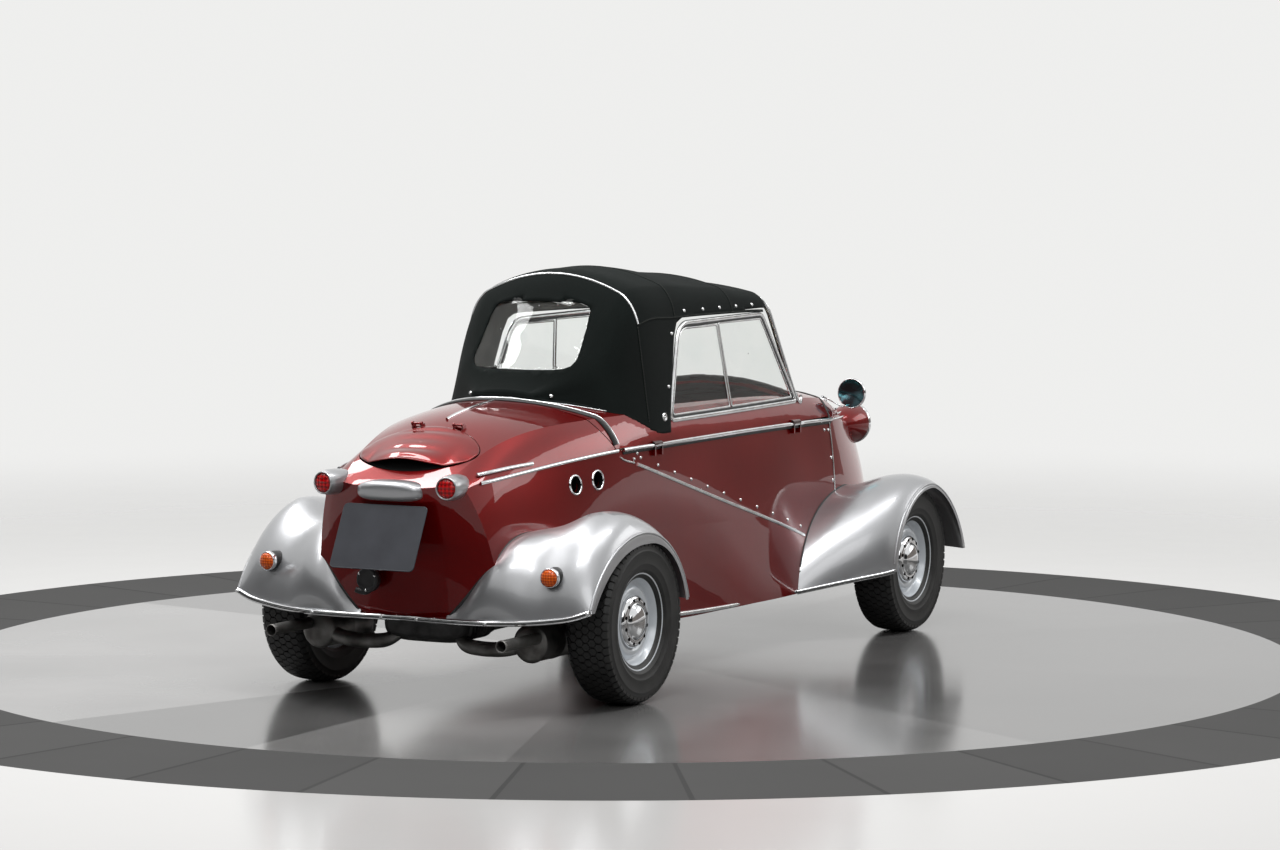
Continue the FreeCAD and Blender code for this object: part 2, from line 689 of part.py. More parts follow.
silencer_x, silencer_y, silencer_z = silencer_rear
pipe_end_x, pipe_y, pipe_z = tail_pipe_end
exhaust = rod(silencer_rear, (silencer_x + silencer_length, silencer_y, silencer_z), silencer_radius)
exhaust = exhaust.fuse(rod((silencer_x + 10, pipe_y, pipe_z), tail_pipe_end, tail_pipe_radius))
header_points = [(engine_rear, *header_start)] + header_bends
for start, end in zip(header_points, header_points[1:]):
    exhaust = exhaust.fuse(rod(start, end, header_radius))
for point in header_points[1:-1]:
    exhaust = exhaust.fuse(Part.makeSphere(header_radius, V(*point)))
exhaust = exhaust.cut(rod((silencer_x - 60, pipe_y, pipe_z), (pipe_end_x - 5, pipe_y, pipe_z), tail_pipe_bore))
exhaust = exhaust.cut(engine)
save("exhaust", Part.makeCompound([exhaust, mirrored(exhaust)]))

# ---- lamps, plate, horn and mirror ----
def turned(profile, centre):
    """A profile of (offset forward, radius) points turned about an axis along X through centre."""
    places = [V(centre[0] + offset, centre[1], centre[2] + radius) for offset, radius in profile]
    wire = Part.makePolygon(places + [places[0]])
    return Part.Face(wire).revolve(V(*centre), V(1, 0, 0), 360)


def pair(shape):
    return Part.makeCompound([shape, mirrored(shape)])


tail_lamp_profile = [
    (0, 0), (0, lamp_ring_radius), (9, lamp_ring_radius), (10, lamp_body_radius - 2), (30, lamp_body_radius),
    (60, lamp_body_radius), (90, lamp_body_radius - 4), (120, lamp_body_radius - 11), (145, lamp_body_radius - 20),
    (lamp_body_length, 8), (lamp_body_length, 0),
]
tail_lens_profile = [(-7, 0), (-5, lens_radius * 0.6), (0, lens_radius), (0, 0)]
save("tail_lamps", pair(turned(tail_lamp_profile, lens_place).cut(outer_tail)))
save("tail_lenses", pair(turned(tail_lens_profile, lens_place)))
indicator_profile = [
    (0, 0), (2, indicator_radius * 0.7), (8, indicator_radius), (12, indicator_radius + 4), (90, indicator_radius), (90, 0),
]
indicator = turned(indicator_profile, indicator_place).cut(fender_form(rear_fender_stations, 0, 0))
save("indicators", pair(indicator))

half_plate = plate_width / 2
plate_low_x, plate_low_z = plate_bottom
plate_run = math.hypot(plate_top[0] - plate_low_x, plate_top[1] - plate_low_z)
plate_lean = math.degrees(math.atan2(plate_top[0] - plate_low_x, plate_top[1] - plate_low_z))
plate = Part.makeBox(plate_thickness, plate_width, plate_run, V(0, -half_plate, 0))
corners = [edge for edge in plate.Edges if abs(edge.tangentAt(edge.FirstParameter).x) > 0.9]
plate = plate.makeFillet(plate_round, corners)
plate.rotate(V(0, 0, 0), V(0, 1, 0), plate_lean)
plate.translate(V(plate_low_x, 0, plate_low_z))
behind_plate = side_prism([plate_bottom, plate_top, (0, plate_top[1]), (0, plate_low_z)], -half_plate, half_plate)
for y in strut_places:
    strut_z = plate_low_z + strut_rise
    strut = rod((plate_low_x, y, strut_z), (strut_front_x, y, strut_z), strut_radius)
    plate = plate.fuse(strut.common(behind_plate))
save("number_plate", plate.cut(outer_tail))
lamp_x, lamp_y, lamp_z = plate_lamp_place
half_lamp = plate_lamp_width / 2
plate_lamp = rod((lamp_x + 12, -half_lamp, lamp_z), (lamp_x + 12, half_lamp, lamp_z), plate_lamp_radius)
plate_lamp = plate_lamp.makeFillet(plate_lamp_round, [edge for edge in plate_lamp.Edges if edge.Closed])
save("plate_lamp", plate_lamp.cut(outer_tail))
horn_profile = [(0, 0), (0, 12), (4, horn_radius - 4), (10, horn_radius), (22, horn_radius), (34, 16), (90, 16), (90, 0)]
save("horn", turned(horn_profile, horn_place).cut(outer_tail))

headlamp_profile = [
    (0, 0), (0, headlamp_radius), (-12, headlamp_radius), (-36, headlamp_radius - 3), (-72, headlamp_radius - 10),
    (-108, headlamp_radius - 24), (-136, headlamp_radius - 42), (-headlamp_length, 10), (-headlamp_length, 0),
]
headlamp_lens_profile = [
    (seat_clearance, 0), (seat_clearance, headlamp_radius - 8), (6, headlamp_radius - 12), (11, headlamp_radius - 20),
    (16, headlamp_radius * 0.45), (20, 0),
]
save("headlamps", pair(turned(headlamp_profile, headlamp_place).cut(outer)))
save("headlamp_lenses", pair(turned(headlamp_lens_profile, headlamp_place).cut(outer)))
mirror_profile = [(0, 0), (0, mirror_radius), (6, mirror_radius), (16, mirror_radius * 0.7), (22, 0)]
mirror_x, mirror_y, mirror_z = mirror_place
stem = rod((mirror_x + 8, mirror_y + 10, mirror_z - 10), mirror_foot, mirror_stem_radius)
save("mirror", largest(turned(mirror_profile, mirror_place).fuse(stem).cut(outer)))

# ---- cabin ----
for name, seat_box, backrest in (("front", front_seat, front_backrest), ("rear", rear_seat, rear_backrest)):
    rear_x, front_x, low_z, high_z = seat_box
    back_top, lean = backrest
    profile = [
        (rear_x, low_z), (front_x, low_z), (front_x, high_z + cushion_rise), (rear_x + cushion_back, high_z),
        (rear_x + backrest_thickness - lean, back_top), (rear_x - lean, back_top),
    ]
    save("seat_" + name, side_prism(profile, -seat_half, seat_half))
    base_half = seat_half - seat_base_side_inset
    seat_base = block(rear_x + seat_base_rear_inset, front_x - seat_base_front_inset, -base_half, base_half,
                      0, low_z - seat_clearance)
    save("seat_base_" + name, seat_base.common(inner))

dash_rear, dash_front = dash_place
dashboard = inner.common(block(dash_rear, dash_front, -400, dash_half, dash_low, dash_high))
grip_x, _, grip_z = bar_grip
column_slope = (bar_pivot[2] - grip_z) / (bar_pivot[0] - grip_x)
column_end = (column_end_x, 0.0, grip_z + (column_end_x - grip_x) * column_slope)
column = rod(bar_grip, column_end, bar_radius)
column_room = rod(bar_grip, column_end, bar_radius + running_clearance)
post = block(dash_rear, dash_front, -dash_post_half, dash_post_half, dash_post_low, dash_low + 2)
save("dashboard", dashboard.fuse(post).cut(column_room))
handlebar = column.fuse(rod((grip_x, -bar_half, grip_z), (grip_x, bar_half, grip_z), bar_radius))
sweep_back, sweep_out, sweep_down = grip_sweep
for side in (-1, 1):
    grip_end = (grip_x - sweep_back, side * (bar_half + sweep_out), grip_z - sweep_down)
    handlebar = handlebar.fuse(rod((grip_x, side * bar_half, grip_z), grip_end, grip_radius))
save("handlebar", handlebar)

# ---- body nodes ----
tail = tail.cut(on_axle(rear_axle_x, -500, 500, half_shaft_radius + shaft_clearance))
save("tub", tub)
save("tail", tail)
save("nose", nose)
for place, shape in fenders.items():
    save("fender_" + place + "_left", shape)
    save("fender_" + place + "_right", mirrored(shape))
save("canopy_base", canopy_base)
save("window_frame", window_frame)
save("windscreen", windscreen)
save("side_glass", glass)
save("hood", hood)
save("rear_window", rear_window)
save("lid", lid)
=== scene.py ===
import math

import bmesh
import bpy
from mathutils import Matrix, Vector
from mathutils.bvhtree import BVHTree


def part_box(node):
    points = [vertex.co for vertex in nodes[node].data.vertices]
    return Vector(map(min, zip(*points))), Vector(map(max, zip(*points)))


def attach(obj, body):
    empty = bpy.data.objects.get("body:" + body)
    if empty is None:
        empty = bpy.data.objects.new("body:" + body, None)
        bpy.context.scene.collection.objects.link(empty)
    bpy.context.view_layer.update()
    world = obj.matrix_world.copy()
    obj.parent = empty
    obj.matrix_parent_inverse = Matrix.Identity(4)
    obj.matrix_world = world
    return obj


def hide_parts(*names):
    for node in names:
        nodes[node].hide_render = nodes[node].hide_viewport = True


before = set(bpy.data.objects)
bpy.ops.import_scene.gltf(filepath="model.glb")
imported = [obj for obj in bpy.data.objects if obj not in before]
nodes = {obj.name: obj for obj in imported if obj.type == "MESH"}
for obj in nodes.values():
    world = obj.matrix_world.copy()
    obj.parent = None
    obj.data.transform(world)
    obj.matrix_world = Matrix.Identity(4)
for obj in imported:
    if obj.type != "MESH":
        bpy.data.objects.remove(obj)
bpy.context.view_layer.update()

# A tandem two-seat bubble car with a soft top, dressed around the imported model.
# Metres; +X points ahead, +Y to the car's left, +Z up.

scene = bpy.context.scene
scene.view_settings.view_transform = "Standard"
sides = {"right": -1, "left": 1}


def linked(name, data):  # a new object in the scene
    made = bpy.data.objects.new(name, data)
    scene.collection.objects.link(made)
    return made


def settled(holder):  # the mesh that an object's modifiers leave
    graph = bpy.context.evaluated_depsgraph_get()
    result = bpy.data.meshes.new_from_object(holder.evaluated_get(graph))
    bpy.data.objects.remove(holder)
    return result


def smoothed(mesh, smooth=True):
    mesh.polygons.foreach_set("use_smooth", [smooth] * len(mesh.polygons))
    return mesh


def between(low, high, share):
    return low + (high - low) * share


def clamped(value, low=0.0, high=1.0):
    return max(low, min(high, value))


# Camera

viewSettings = {
    "place": (-10.72915, -5.72557, 1.65621),
    "yaw": 0.48485,  # from +X towards +Y
    "pitch": -0.07596,
    "lens": 107.83,
    "sensor": 36.0,
}
camera = linked("camera", bpy.data.cameras.new("camera"))
camera.location = viewSettings["place"]
camera.rotation_euler = (math.pi / 2 + viewSettings["pitch"], 0, viewSettings["yaw"] - math.pi / 2)
camera.data.lens = viewSettings["lens"]
camera.data.sensor_width = viewSettings["sensor"]
camera.data.dof.use_dof = False
camera.data.clip_end = 200
scene.camera = camera


# Wiring for shader and geometry trees

class Term:  # a socket that can stand in an expression
    def __init__(self, maker, socket):
        self.maker = maker
        self.socket = socket


def operator(operation, reflected):
    def combined(term, other):
        return term.maker.maths(operation, *((other, term) if reflected else (term, other)))
    return combined


for word, operation in (("add", "ADD"), ("sub", "SUBTRACT"), ("mul", "MULTIPLY"), ("truediv", "DIVIDE")):
    setattr(Term, "__" + word + "__", operator(operation, False))
    setattr(Term, "__r" + word + "__", operator(operation, True))


class Made:  # a node whose outputs are picked by name or number
    def __init__(self, maker, made):
        self.maker = maker
        self.made = made

    def __getitem__(self, name):
        return Term(self.maker, self.made.outputs[name])


class Maker:  # adds nodes to one tree
    def __init__(self, tree):
        self.tree = tree

    def node(self, kind, sockets=None, settings=None):
        made = self.tree.nodes.new(kind)
        for name, value in (settings or {}).items():
            if name == "stops":
                self.fillRamp(made.color_ramp, value)
            else:
                setattr(made, name, value)
        for name, value in (sockets or {}).items():
            if isinstance(value, Term):
                self.tree.links.new(value.socket, made.inputs[name])
            else:
                made.inputs[name].default_value = value
        return Made(self, made)

    def fillRamp(self, ramp, stops):
        while len(ramp.elements) < len(stops):
            ramp.elements.new(0.5)
        for element, (place, colour) in zip(ramp.elements, stops):
            element.position = place
            element.color = (*colour, 1.0)

    def place(self):
        return self.node("ShaderNodeTexCoord")["Object"]

    def noise(self, scale, detail=2.0):
        sockets = {"Vector": self.place(), "Scale": scale, "Detail": detail}
        return self.node("ShaderNodeTexNoise", sockets)["Fac"]

    def wave(self, place, direction, scale):
        sockets = {"Vector": place, "Scale": scale}
        return self.node("ShaderNodeTexWave", sockets, {"bands_direction": direction})["Fac"]

    def axis(self, name):
        return self.node("ShaderNodeSeparateXYZ", {0: self.place()})[name]

    def maths(self, operation, *values):
        return self.node("ShaderNodeMath", dict(enumerate(values)), {"operation": operation})["Value"]

    def ramp(self, factor, *stops):
        return self.node("ShaderNodeValToRGB", {"Fac": factor}, {"stops": stops})["Color"]

    def mixColours(self, factor, first, second):
        return self.node("ShaderNodeMix", {0: factor, 6: first, 7: second}, {"data_type": "RGBA"})[2]

    def bump(self, height, strength, distance):
        sockets = {"Height": height, "Strength": strength, "Distance": distance}
        return self.node("ShaderNodeBump", sockets)["Normal"]

    def blend(self, factor, first, second, output):
        mixed = self.node("ShaderNodeMixShader", {0: factor, 1: first, 2: second})
        self.node(output, {"Surface": mixed["Shader"]})


def emptied(data):  # a material's or a world's tree with nothing in it
    data.use_nodes = True
    data.node_tree.nodes.clear()
    return Maker(data.node_tree)


# Materials

def newMaterial(name, fixed, varying):  # the shader's fixed sockets, then those that vary over the surface
    material = bpy.data.materials.new(name)
    maker = emptied(material)
    shader = maker.node("ShaderNodeBsdfPrincipled", {**fixed, **varying(maker)})
    maker.node("ShaderNodeOutputMaterial", {"Surface": shader["BSDF"]})
    return material


# the canopy's hinges share its node with the paint, and are black
hingeSettings = {"above": 0.698, "rightOf": -0.3505, "colour": (0.012, 0.012, 0.012, 1.0)}


def redPaintLook(maker):
    flake = maker.noise(1400.0, 1.0)
    cloud = maker.noise(3.0, 3.0)
    dark, light = (0.095, 0.0007, 0.0009), (0.22, 0.0016, 0.002)
    colour = maker.ramp(flake * 0.7 + cloud * 0.3, (0.3, dark), (0.7, light))
    above = maker.maths("GREATER_THAN", maker.axis("Z"), hingeSettings["above"])
    beside = maker.maths("LESS_THAN", maker.axis("Y"), hingeSettings["rightOf"])
    return {
        "Base Color": maker.mixColours(above * beside, colour, hingeSettings["colour"]),
        "Roughness": cloud * 0.1 + 0.26,
        "Normal": maker.bump(maker.noise(38.0, 1.0), 0.05, 0.002),
    }


def silverPaintLook(light, dark):
    def look(maker):
        flake = maker.noise(1600.0, 1.0)
        cloud = maker.noise(4.0, 3.0)
        colour = maker.ramp(flake * 0.6 + cloud * 0.4, (0.3, dark), (0.7, light))
        return {"Base Color": colour, "Roughness": cloud * 0.12 + 0.28}
    return look


def noiseLook(grain, detail, light, dark, roughness, spread, bump=None, ends=(0.3, 0.7)):
    def look(maker):  # one noise for colour and roughness, a finer one for the bumps
        patch = maker.noise(grain, detail)
        sockets = {
            "Base Color": maker.ramp(patch, (ends[0], dark), (ends[1], light)),
            "Roughness": patch * spread + roughness,
        }
        if bump:
            fineness, strength, distance = bump
            sockets["Normal"] = maker.bump(maker.noise(fineness, 2.0), strength, distance)
        return sockets
    return look


def wornMetalLook(light, dark, roughness, grain):
    return noiseLook(grain, 4.0, light, dark, roughness, 0.2, (grain * 8, 0.12, 0.001), (0.35, 0.65))


def plasticLook(light, dark, roughness):
    return noiseLook(12.0, 3.0, light, dark, roughness, 0.15, (500.0, 0.08, 0.0004))


chromeLook = noiseLook(30.0, 3.0, (0.86, 0.87, 0.88), (0.72, 0.73, 0.75), 0.03, 0.1)
rubberLook = noiseLook(22.0, 4.0, (0.027, 0.027, 0.026), (0.009, 0.0095, 0.0095), 0.42, 0.2,
                       (420.0, 0.25, 0.0006), (0.3, 0.75))


def canvasLook(maker):  # a weave of threads along all three axes
    place = maker.place()
    threads = (("X", 0.34), ("Y", 0.33), ("Z", 0.33))
    weave = sum(maker.wave(place, direction, 330.0) * part for direction, part in threads)
    fade = maker.noise(5.0, 4.0)
    thread = maker.noise(260.0, 2.0)
    dark, light = (0.0016, 0.003, 0.0026), (0.006, 0.0088, 0.008)
    colour = maker.ramp(fade * 0.6 + thread * 0.4, (0.3, dark), (0.75, light))
    return {
        "Base Color": colour,
        "Roughness": fade * 0.15 + 0.78,
        "Normal": maker.bump(weave + thread * 0.6, 0.35, 0.0006),
    }


def leatherLook(light, dark):
    def look(maker):
        cells = maker.node("ShaderNodeTexVoronoi", {"Vector": maker.place(), "Scale": 420.0})["Distance"]
        wear = maker.noise(6.0, 4.0)
        return {
            "Base Color": maker.ramp(wear, (0.3, dark), (0.7, light)),
            "Roughness": wear * 0.2 + 0.38,
            "Normal": maker.bump(cells, 0.22, 0.0005),
        }
    return look


def lensLook(light, dark, pitch):  # moulded prisms, in bars across each other
    def look(maker):
        place = maker.place()
        bars, rows = maker.wave(place, "Y", pitch), maker.wave(place, "Z", pitch)
        return {
            "Base Color": maker.ramp(bars * 0.5 + rows * 0.5, (0.2, dark), (0.8, light)),
            "Normal": maker.bump(bars + rows, 0.6, 0.0015),
        }
    return look


def glassLook(maker):
    smear = maker.noise(7.0, 4.0)
    colour = maker.ramp(smear, (0.3, (0.93, 0.95, 0.94)), (0.7, (0.97, 0.98, 0.97)))
    return {"Roughness": smear * 0.03, "Base Color": colour}


redPaint = newMaterial("maroonPaint", {
    "Metallic": 0.5, "Coat Weight": 1.0, "Coat Roughness": 0.012, "Coat IOR": 1.44,
    "Specular Tint": (0.7, 0.03, 0.03, 1.0)}, redPaintLook)
silverPaint = newMaterial("silverPaint", {"Metallic": 0.7, "Coat Weight": 0.7, "Coat Roughness": 0.05},
                          silverPaintLook((0.46, 0.465, 0.48), (0.31, 0.315, 0.325)))
rimPaint = newMaterial("rimPaint", {"Metallic": 0.1, "Coat Weight": 0.6, "Coat Roughness": 0.08},
                       silverPaintLook((0.8, 0.84, 0.88), (0.7, 0.74, 0.78)))
chrome = newMaterial("chrome", {"Metallic": 1.0}, chromeLook)
brightTrim, darkSteel, engineMetal, exhaustSteel, mirrorGlass = (
    newMaterial(name, {"Metallic": metallic}, wornMetalLook(*look)) for name, metallic, look in (
        ("brightTrim", 1.0, ((0.82, 0.83, 0.83), (0.66, 0.67, 0.68), 0.1, 25.0)),
        ("darkSteel", 0.7, ((0.075, 0.072, 0.068), (0.025, 0.024, 0.023), 0.45, 22.0)),
        ("engineMetal", 0.6, ((0.1, 0.1, 0.1), (0.03, 0.03, 0.03), 0.5, 18.0)),
        ("exhaustSteel", 0.85, ((0.3, 0.295, 0.285), (0.11, 0.105, 0.1), 0.32, 14.0)),
        # the mirror glass's teal tint stands for what it reflected: a painted reflection
        ("mirrorGlass", 1.0, ((0.1, 0.3, 0.33), (0.07, 0.24, 0.28), 0.02, 6.0))))
sealRubber, blackPlastic, plateGrey, lining, paintedHoleShade = (
    newMaterial(name, fixed, plasticLook(*look)) for name, fixed, look in (
        ("sealRubber", {}, ((0.02, 0.02, 0.02), (0.01, 0.01, 0.01), 0.45)),
        ("blackPlastic", {}, ((0.022, 0.022, 0.024), (0.012, 0.012, 0.013), 0.35)),
        ("plateGrey", {}, ((0.034, 0.037, 0.047), (0.021, 0.023, 0.031), 0.3)),
        ("greyLining", {"Specular IOR Level": 0.1}, ((0.2, 0.2, 0.18), (0.13, 0.13, 0.12), 0.8)),
        # a near black painted shade, put inside holes and openings where shade falls
        ("paintedHoleShade", {"Specular IOR Level": 0.1}, ((0.006, 0.006, 0.006), (0.003, 0.003, 0.003), 0.8))))
lensSettings = {
    "Coat Weight": 0.2, "Coat Roughness": 0.02, "Transmission Weight": 0.15, "Roughness": 0.12,
    "Specular IOR Level": 0.25}
redLens, amberLens, clearLens = (
    newMaterial(name, fixed, lensLook(*look)) for name, fixed, look in (
        ("redLens", lensSettings, ((0.75, 0.004, 0.006), (0.22, 0.001, 0.002), 26.0)),
        ("amberLens", lensSettings, ((0.95, 0.16, 0.003), (0.55, 0.055, 0.001), 40.0)),
        ("clearLens", {"Transmission Weight": 0.8, "Coat Weight": 1.0},
         ((0.92, 0.93, 0.93), (0.75, 0.77, 0.78), 30.0))))
tyreRubber = newMaterial("tyreRubber", {}, rubberLook)
canvas = newMaterial("blackCanvas", {
    "Sheen Weight": 0.03, "Sheen Roughness": 0.5, "Specular IOR Level": 0.08}, canvasLook)
creamLeather = newMaterial("creamLeather", {}, leatherLook((0.66, 0.6, 0.46), (0.52, 0.46, 0.34)))
greyTrim = newMaterial("greyTrim", {}, leatherLook((0.34, 0.34, 0.33), (0.24, 0.24, 0.235)))
windowGlass = newMaterial("windowGlass", {
    "Transmission Weight": 1.0, "IOR": 1.12, "Coat Weight": 0.35, "Coat Roughness": 0.0}, glassLook)
print("materials made")

nodeFinishes = {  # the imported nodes, by the start of their names
    redPaint: "tub tail nose canopy_base lid headlamps", silverPaint: "fender tail_lamps plate_lamp",
    rimPaint: "rim", chrome: "hubcap mirror", brightTrim: "window_frame", engineMetal: "engine",
    darkSteel: "knuckle front_axle rear_axle", exhaustSteel: "exhaust", tyreRubber: "tyre",
    redLens: "tail_lenses", amberLens: "indicators", clearLens: "headlamp_lenses", plateGrey: "number_plate",
    canvas: "hood", blackPlastic: "horn handlebar seat_base", creamLeather: "seat_front seat_rear",
    greyTrim: "dashboard", windowGlass: "windscreen side_glass rear_window",
}
finishOf = {stem: material for material, stems in nodeFinishes.items() for stem in stems.split()}
for name, node in nodes.items():
    stem = max((key for key in finishOf if name.startswith(key)), key=len)
    node.data.materials.clear()
    node.data.materials.append(finishOf[stem])


# Light and floor

lightSettings = {
    "worldColour": (0.94, 0.945, 0.95),
    "worldStrength": 0.42,
    "backdrop": (0.86, 0.86, 0.85),
    "floorColour": 0.7,
    "turntable": {
        "plate": 2.15, "rim": 2.72, "wedges": 9, "blocks": 34, "gap": 0.03,
        "plateTones": (0.3, 0.1), "rimTones": (0.045, 0.03)},
    "floorHalf": 9,
    "floorFade": (3.2, 8.5),  # radii between which the floor melts into the backdrop
    "unlitWalls": [  # angles round the car, heights, colour
        ((108, 258), (0.0, 9.0), (0.04, 0.04, 0.04)),
        ((258, 345), (0.0, 5.0), (0.52, 0.46, 0.42)),
    ],
    "wallRadius": 18.0,
    "panels": [  # place, aim, width, height, watts
        ((-1.0, -1.6, 4.6), (-0.2, 0.0, 0.4), 6.0, 0.5, 120.0),
        ((-1.0, 0.6, 4.8), (-0.2, 0.0, 0.4), 6.0, 0.5, 105.0),
        ((-1.0, 2.8, 4.6), (0.0, 0.0, 0.4), 6.0, 0.5, 90.0),
        ((-6.5, -4.5, 4.6), (-0.3, 0.0, 0.5), 5.0, 3.2, 95.0),
        ((5.5, -5.5, 3.6), (0.3, 0.0, 0.6), 4.0, 2.4, 80.0),
    ],
}


def buildWorld():
    world = bpy.data.worlds.new("studio")
    scene.world = world
    maker = emptied(world)
    rays = maker.node("ShaderNodeLightPath")
    ambient = maker.node("ShaderNodeBackground", {
        "Color": (*lightSettings["worldColour"], 1.0), "Strength": lightSettings["worldStrength"]})
    backdrop = maker.node("ShaderNodeBackground", {
        "Color": (*lightSettings["backdrop"], 1.0), "Strength": 1.0})
    seen = rays["Is Camera Ray"] + rays["Is Glossy Ray"] + rays["Is Transmission Ray"]
    maker.blend(seen, ambient["Background"], backdrop["Background"], "ShaderNodeOutputWorld")


def wedgeTone(maker, angle, count, light, dark):  # an even grey for each wedge of a round floor
    number = maker.maths("FLOOR", angle * (count / (2 * math.pi)))
    chance = maker.node("ShaderNodeTexWhiteNoise", {"W": number}, {"noise_dimensions": "1D"})["Value"]
    return chance * (light - dark) + dark


def staged(name, material, mesh):
    mesh.materials.append(material)
    linked(name, mesh)


def buildFloor():
    settings = lightSettings["turntable"]
    near, far = lightSettings["floorFade"]
    material = bpy.data.materials.new("floor")
    maker = emptied(material)
    distance = maker.node("ShaderNodeVectorMath", {0: maker.place()}, {"operation": "LENGTH"})["Value"]
    fade = maker.node("ShaderNodeMapRange", {
        "Value": distance, "From Min": near, "From Max": far}, {"interpolation_type": "SMOOTHSTEP"})["Result"]
    angle = maker.maths("ARCTAN2", maker.axis("Y"), maker.axis("X"))
    patch = maker.noise(1.5, 3.0)
    plate = wedgeTone(maker, angle, settings["wedges"], *settings["plateTones"]) * (patch * 0.8 + 0.6)
    rim = wedgeTone(maker, angle, settings["blocks"], *settings["rimTones"])
    turn = maker.maths("FRACT", angle * (settings["blocks"] / (2 * math.pi)))
    gap = maker.maths("LESS_THAN", turn, settings["gap"])
    onPlate = maker.maths("LESS_THAN", distance, settings["plate"])
    onRim = maker.maths("LESS_THAN", distance, settings["rim"]) - onPlate
    outside = (1 - onPlate - onRim) * lightSettings["floorColour"]
    tone = onPlate * plate + onRim * rim * (1 - gap * 0.7) + outside
    grey = maker.node("ShaderNodeCombineXYZ", {0: tone, 1: tone * 0.985, 2: tone * 0.97})["Vector"]
    shader = maker.node("ShaderNodeBsdfPrincipled", {
        "Base Color": grey, "Roughness": patch * 0.1 + 0.1 + onRim * 0.75, "Specular IOR Level": 0.6})
    clear = maker.node("ShaderNodeBsdfTransparent")
    maker.blend(fade, shader["BSDF"], clear["BSDF"], "ShaderNodeOutputMaterial")
    mesh = bpy.data.meshes.new("floor")
    half = lightSettings["floorHalf"]
    corners = [(-half, -half, 0), (half, -half, 0), (half, half, 0), (-half, half, 0)]
    mesh.from_pydata(corners, [], [(0, 1, 2, 3)])
    staged("floor", material, mesh)


def buildLights():
    for number, (place, aim, width, height, watts) in enumerate(lightSettings["panels"]):
        data = bpy.data.lights.new("panel" + str(number), "AREA")
        data.shape = "RECTANGLE"
        data.size = width
        data.size_y = height
        data.energy = watts
        lamp = linked(data.name, data)
        lamp.location = place
        lamp.rotation_euler = (Vector(aim) - Vector(place)).to_track_quat("-Z", "Y").to_euler()


def buildUnlitWalls():  # what stands behind and beside the camera, for the paint to mirror
    radius = lightSettings["wallRadius"]
    for number, (angles, heights, colour) in enumerate(lightSettings["unlitWalls"]):
        name = "unlitWall" + str(number)
        material = bpy.data.materials.new(name)
        maker = emptied(material)
        rays = maker.node("ShaderNodeLightPath")
        matt = maker.node("ShaderNodeBsdfDiffuse", {"Color": (*colour, 1.0)})
        clear = maker.node("ShaderNodeBsdfTransparent")
        seen = rays["Is Camera Ray"] + rays["Is Transmission Ray"]
        maker.blend(seen, matt["BSDF"], clear["BSDF"], "ShaderNodeOutputMaterial")
        rows = []
        for step in range(33):
            angle = math.radians(between(*angles, step / 32))
            rows.append([Vector((radius * math.cos(angle), radius * math.sin(angle), z)) for z in heights])
        staged(name, material, gridMesh(rows))


buildWorld()
buildFloor()
buildLights()
print("light and floor made")


# Geometry trees

socketKinds = {float: "NodeSocketFloat", int: "NodeSocketInt", type(None): "NodeSocketMaterial"}


def newTree(name, inputs):
    tree = bpy.data.node_groups.new(name, "GeometryNodeTree")
    tree.interface.new_socket("Geometry", in_out="INPUT", socket_type="NodeSocketGeometry")
    for label, value in {**inputs, "Material": None}.items():
        socket = tree.interface.new_socket(label, in_out="INPUT", socket_type=socketKinds[type(value)])
        if value is not None:
            socket.default_value = value
    tree.interface.new_socket("Geometry", in_out="OUTPUT", socket_type="NodeSocketGeometry")
    maker = Maker(tree)
    return tree, maker, maker.node("NodeGroupInput")


def endTree(maker, shape, given, rounded=True):
    smooth = maker.node("GeometryNodeSetShadeSmooth", {
        "Geometry": shape, "Shade Smooth": rounded})["Geometry"]
    real = maker.node("GeometryNodeRealizeInstances", {"Geometry": smooth})["Geometry"]
    coloured = maker.node("GeometryNodeSetMaterial", {
        "Geometry": real, "Material": given["Material"]})["Geometry"]
    maker.node("NodeGroupOutput", {"Geometry": coloured})


def lieOf(maker):
    settings = {"data_type": "FLOAT_VECTOR"}
    return maker.node("GeometryNodeInputNamedAttribute", {"Name": "lie"}, settings)["Attribute"]


def buildBeadTree():  # a rounded bead along each line of points, lying on the surface named by "lie"
    tree, maker, given = newTree("bead", {"Width": 0.01, "Height": 0.006, "Sides": 12})
    line = maker.node("GeometryNodeMeshToCurve", {"Mesh": given["Geometry"]})["Curve"]
    lie = lieOf(maker)
    turned = maker.node("GeometryNodeSetCurveNormal", {
        "Curve": line, "Normal": lie}, {"mode": "FREE"})["Curve"]
    ring = maker.node("GeometryNodeCurvePrimitiveCircle", {
        "Resolution": given["Sides"], "Radius": 0.5})["Curve"]
    size = maker.node("ShaderNodeCombineXYZ", {"X": given["Height"], "Y": given["Width"], "Z": 1.0})["Vector"]
    profile = maker.node("GeometryNodeTransform", {"Geometry": ring, "Scale": size})["Geometry"]
    swept = maker.node("GeometryNodeCurveToMesh", {
        "Curve": turned, "Profile Curve": profile, "Fill Caps": True})["Mesh"]
    endTree(maker, swept, given)
    return tree


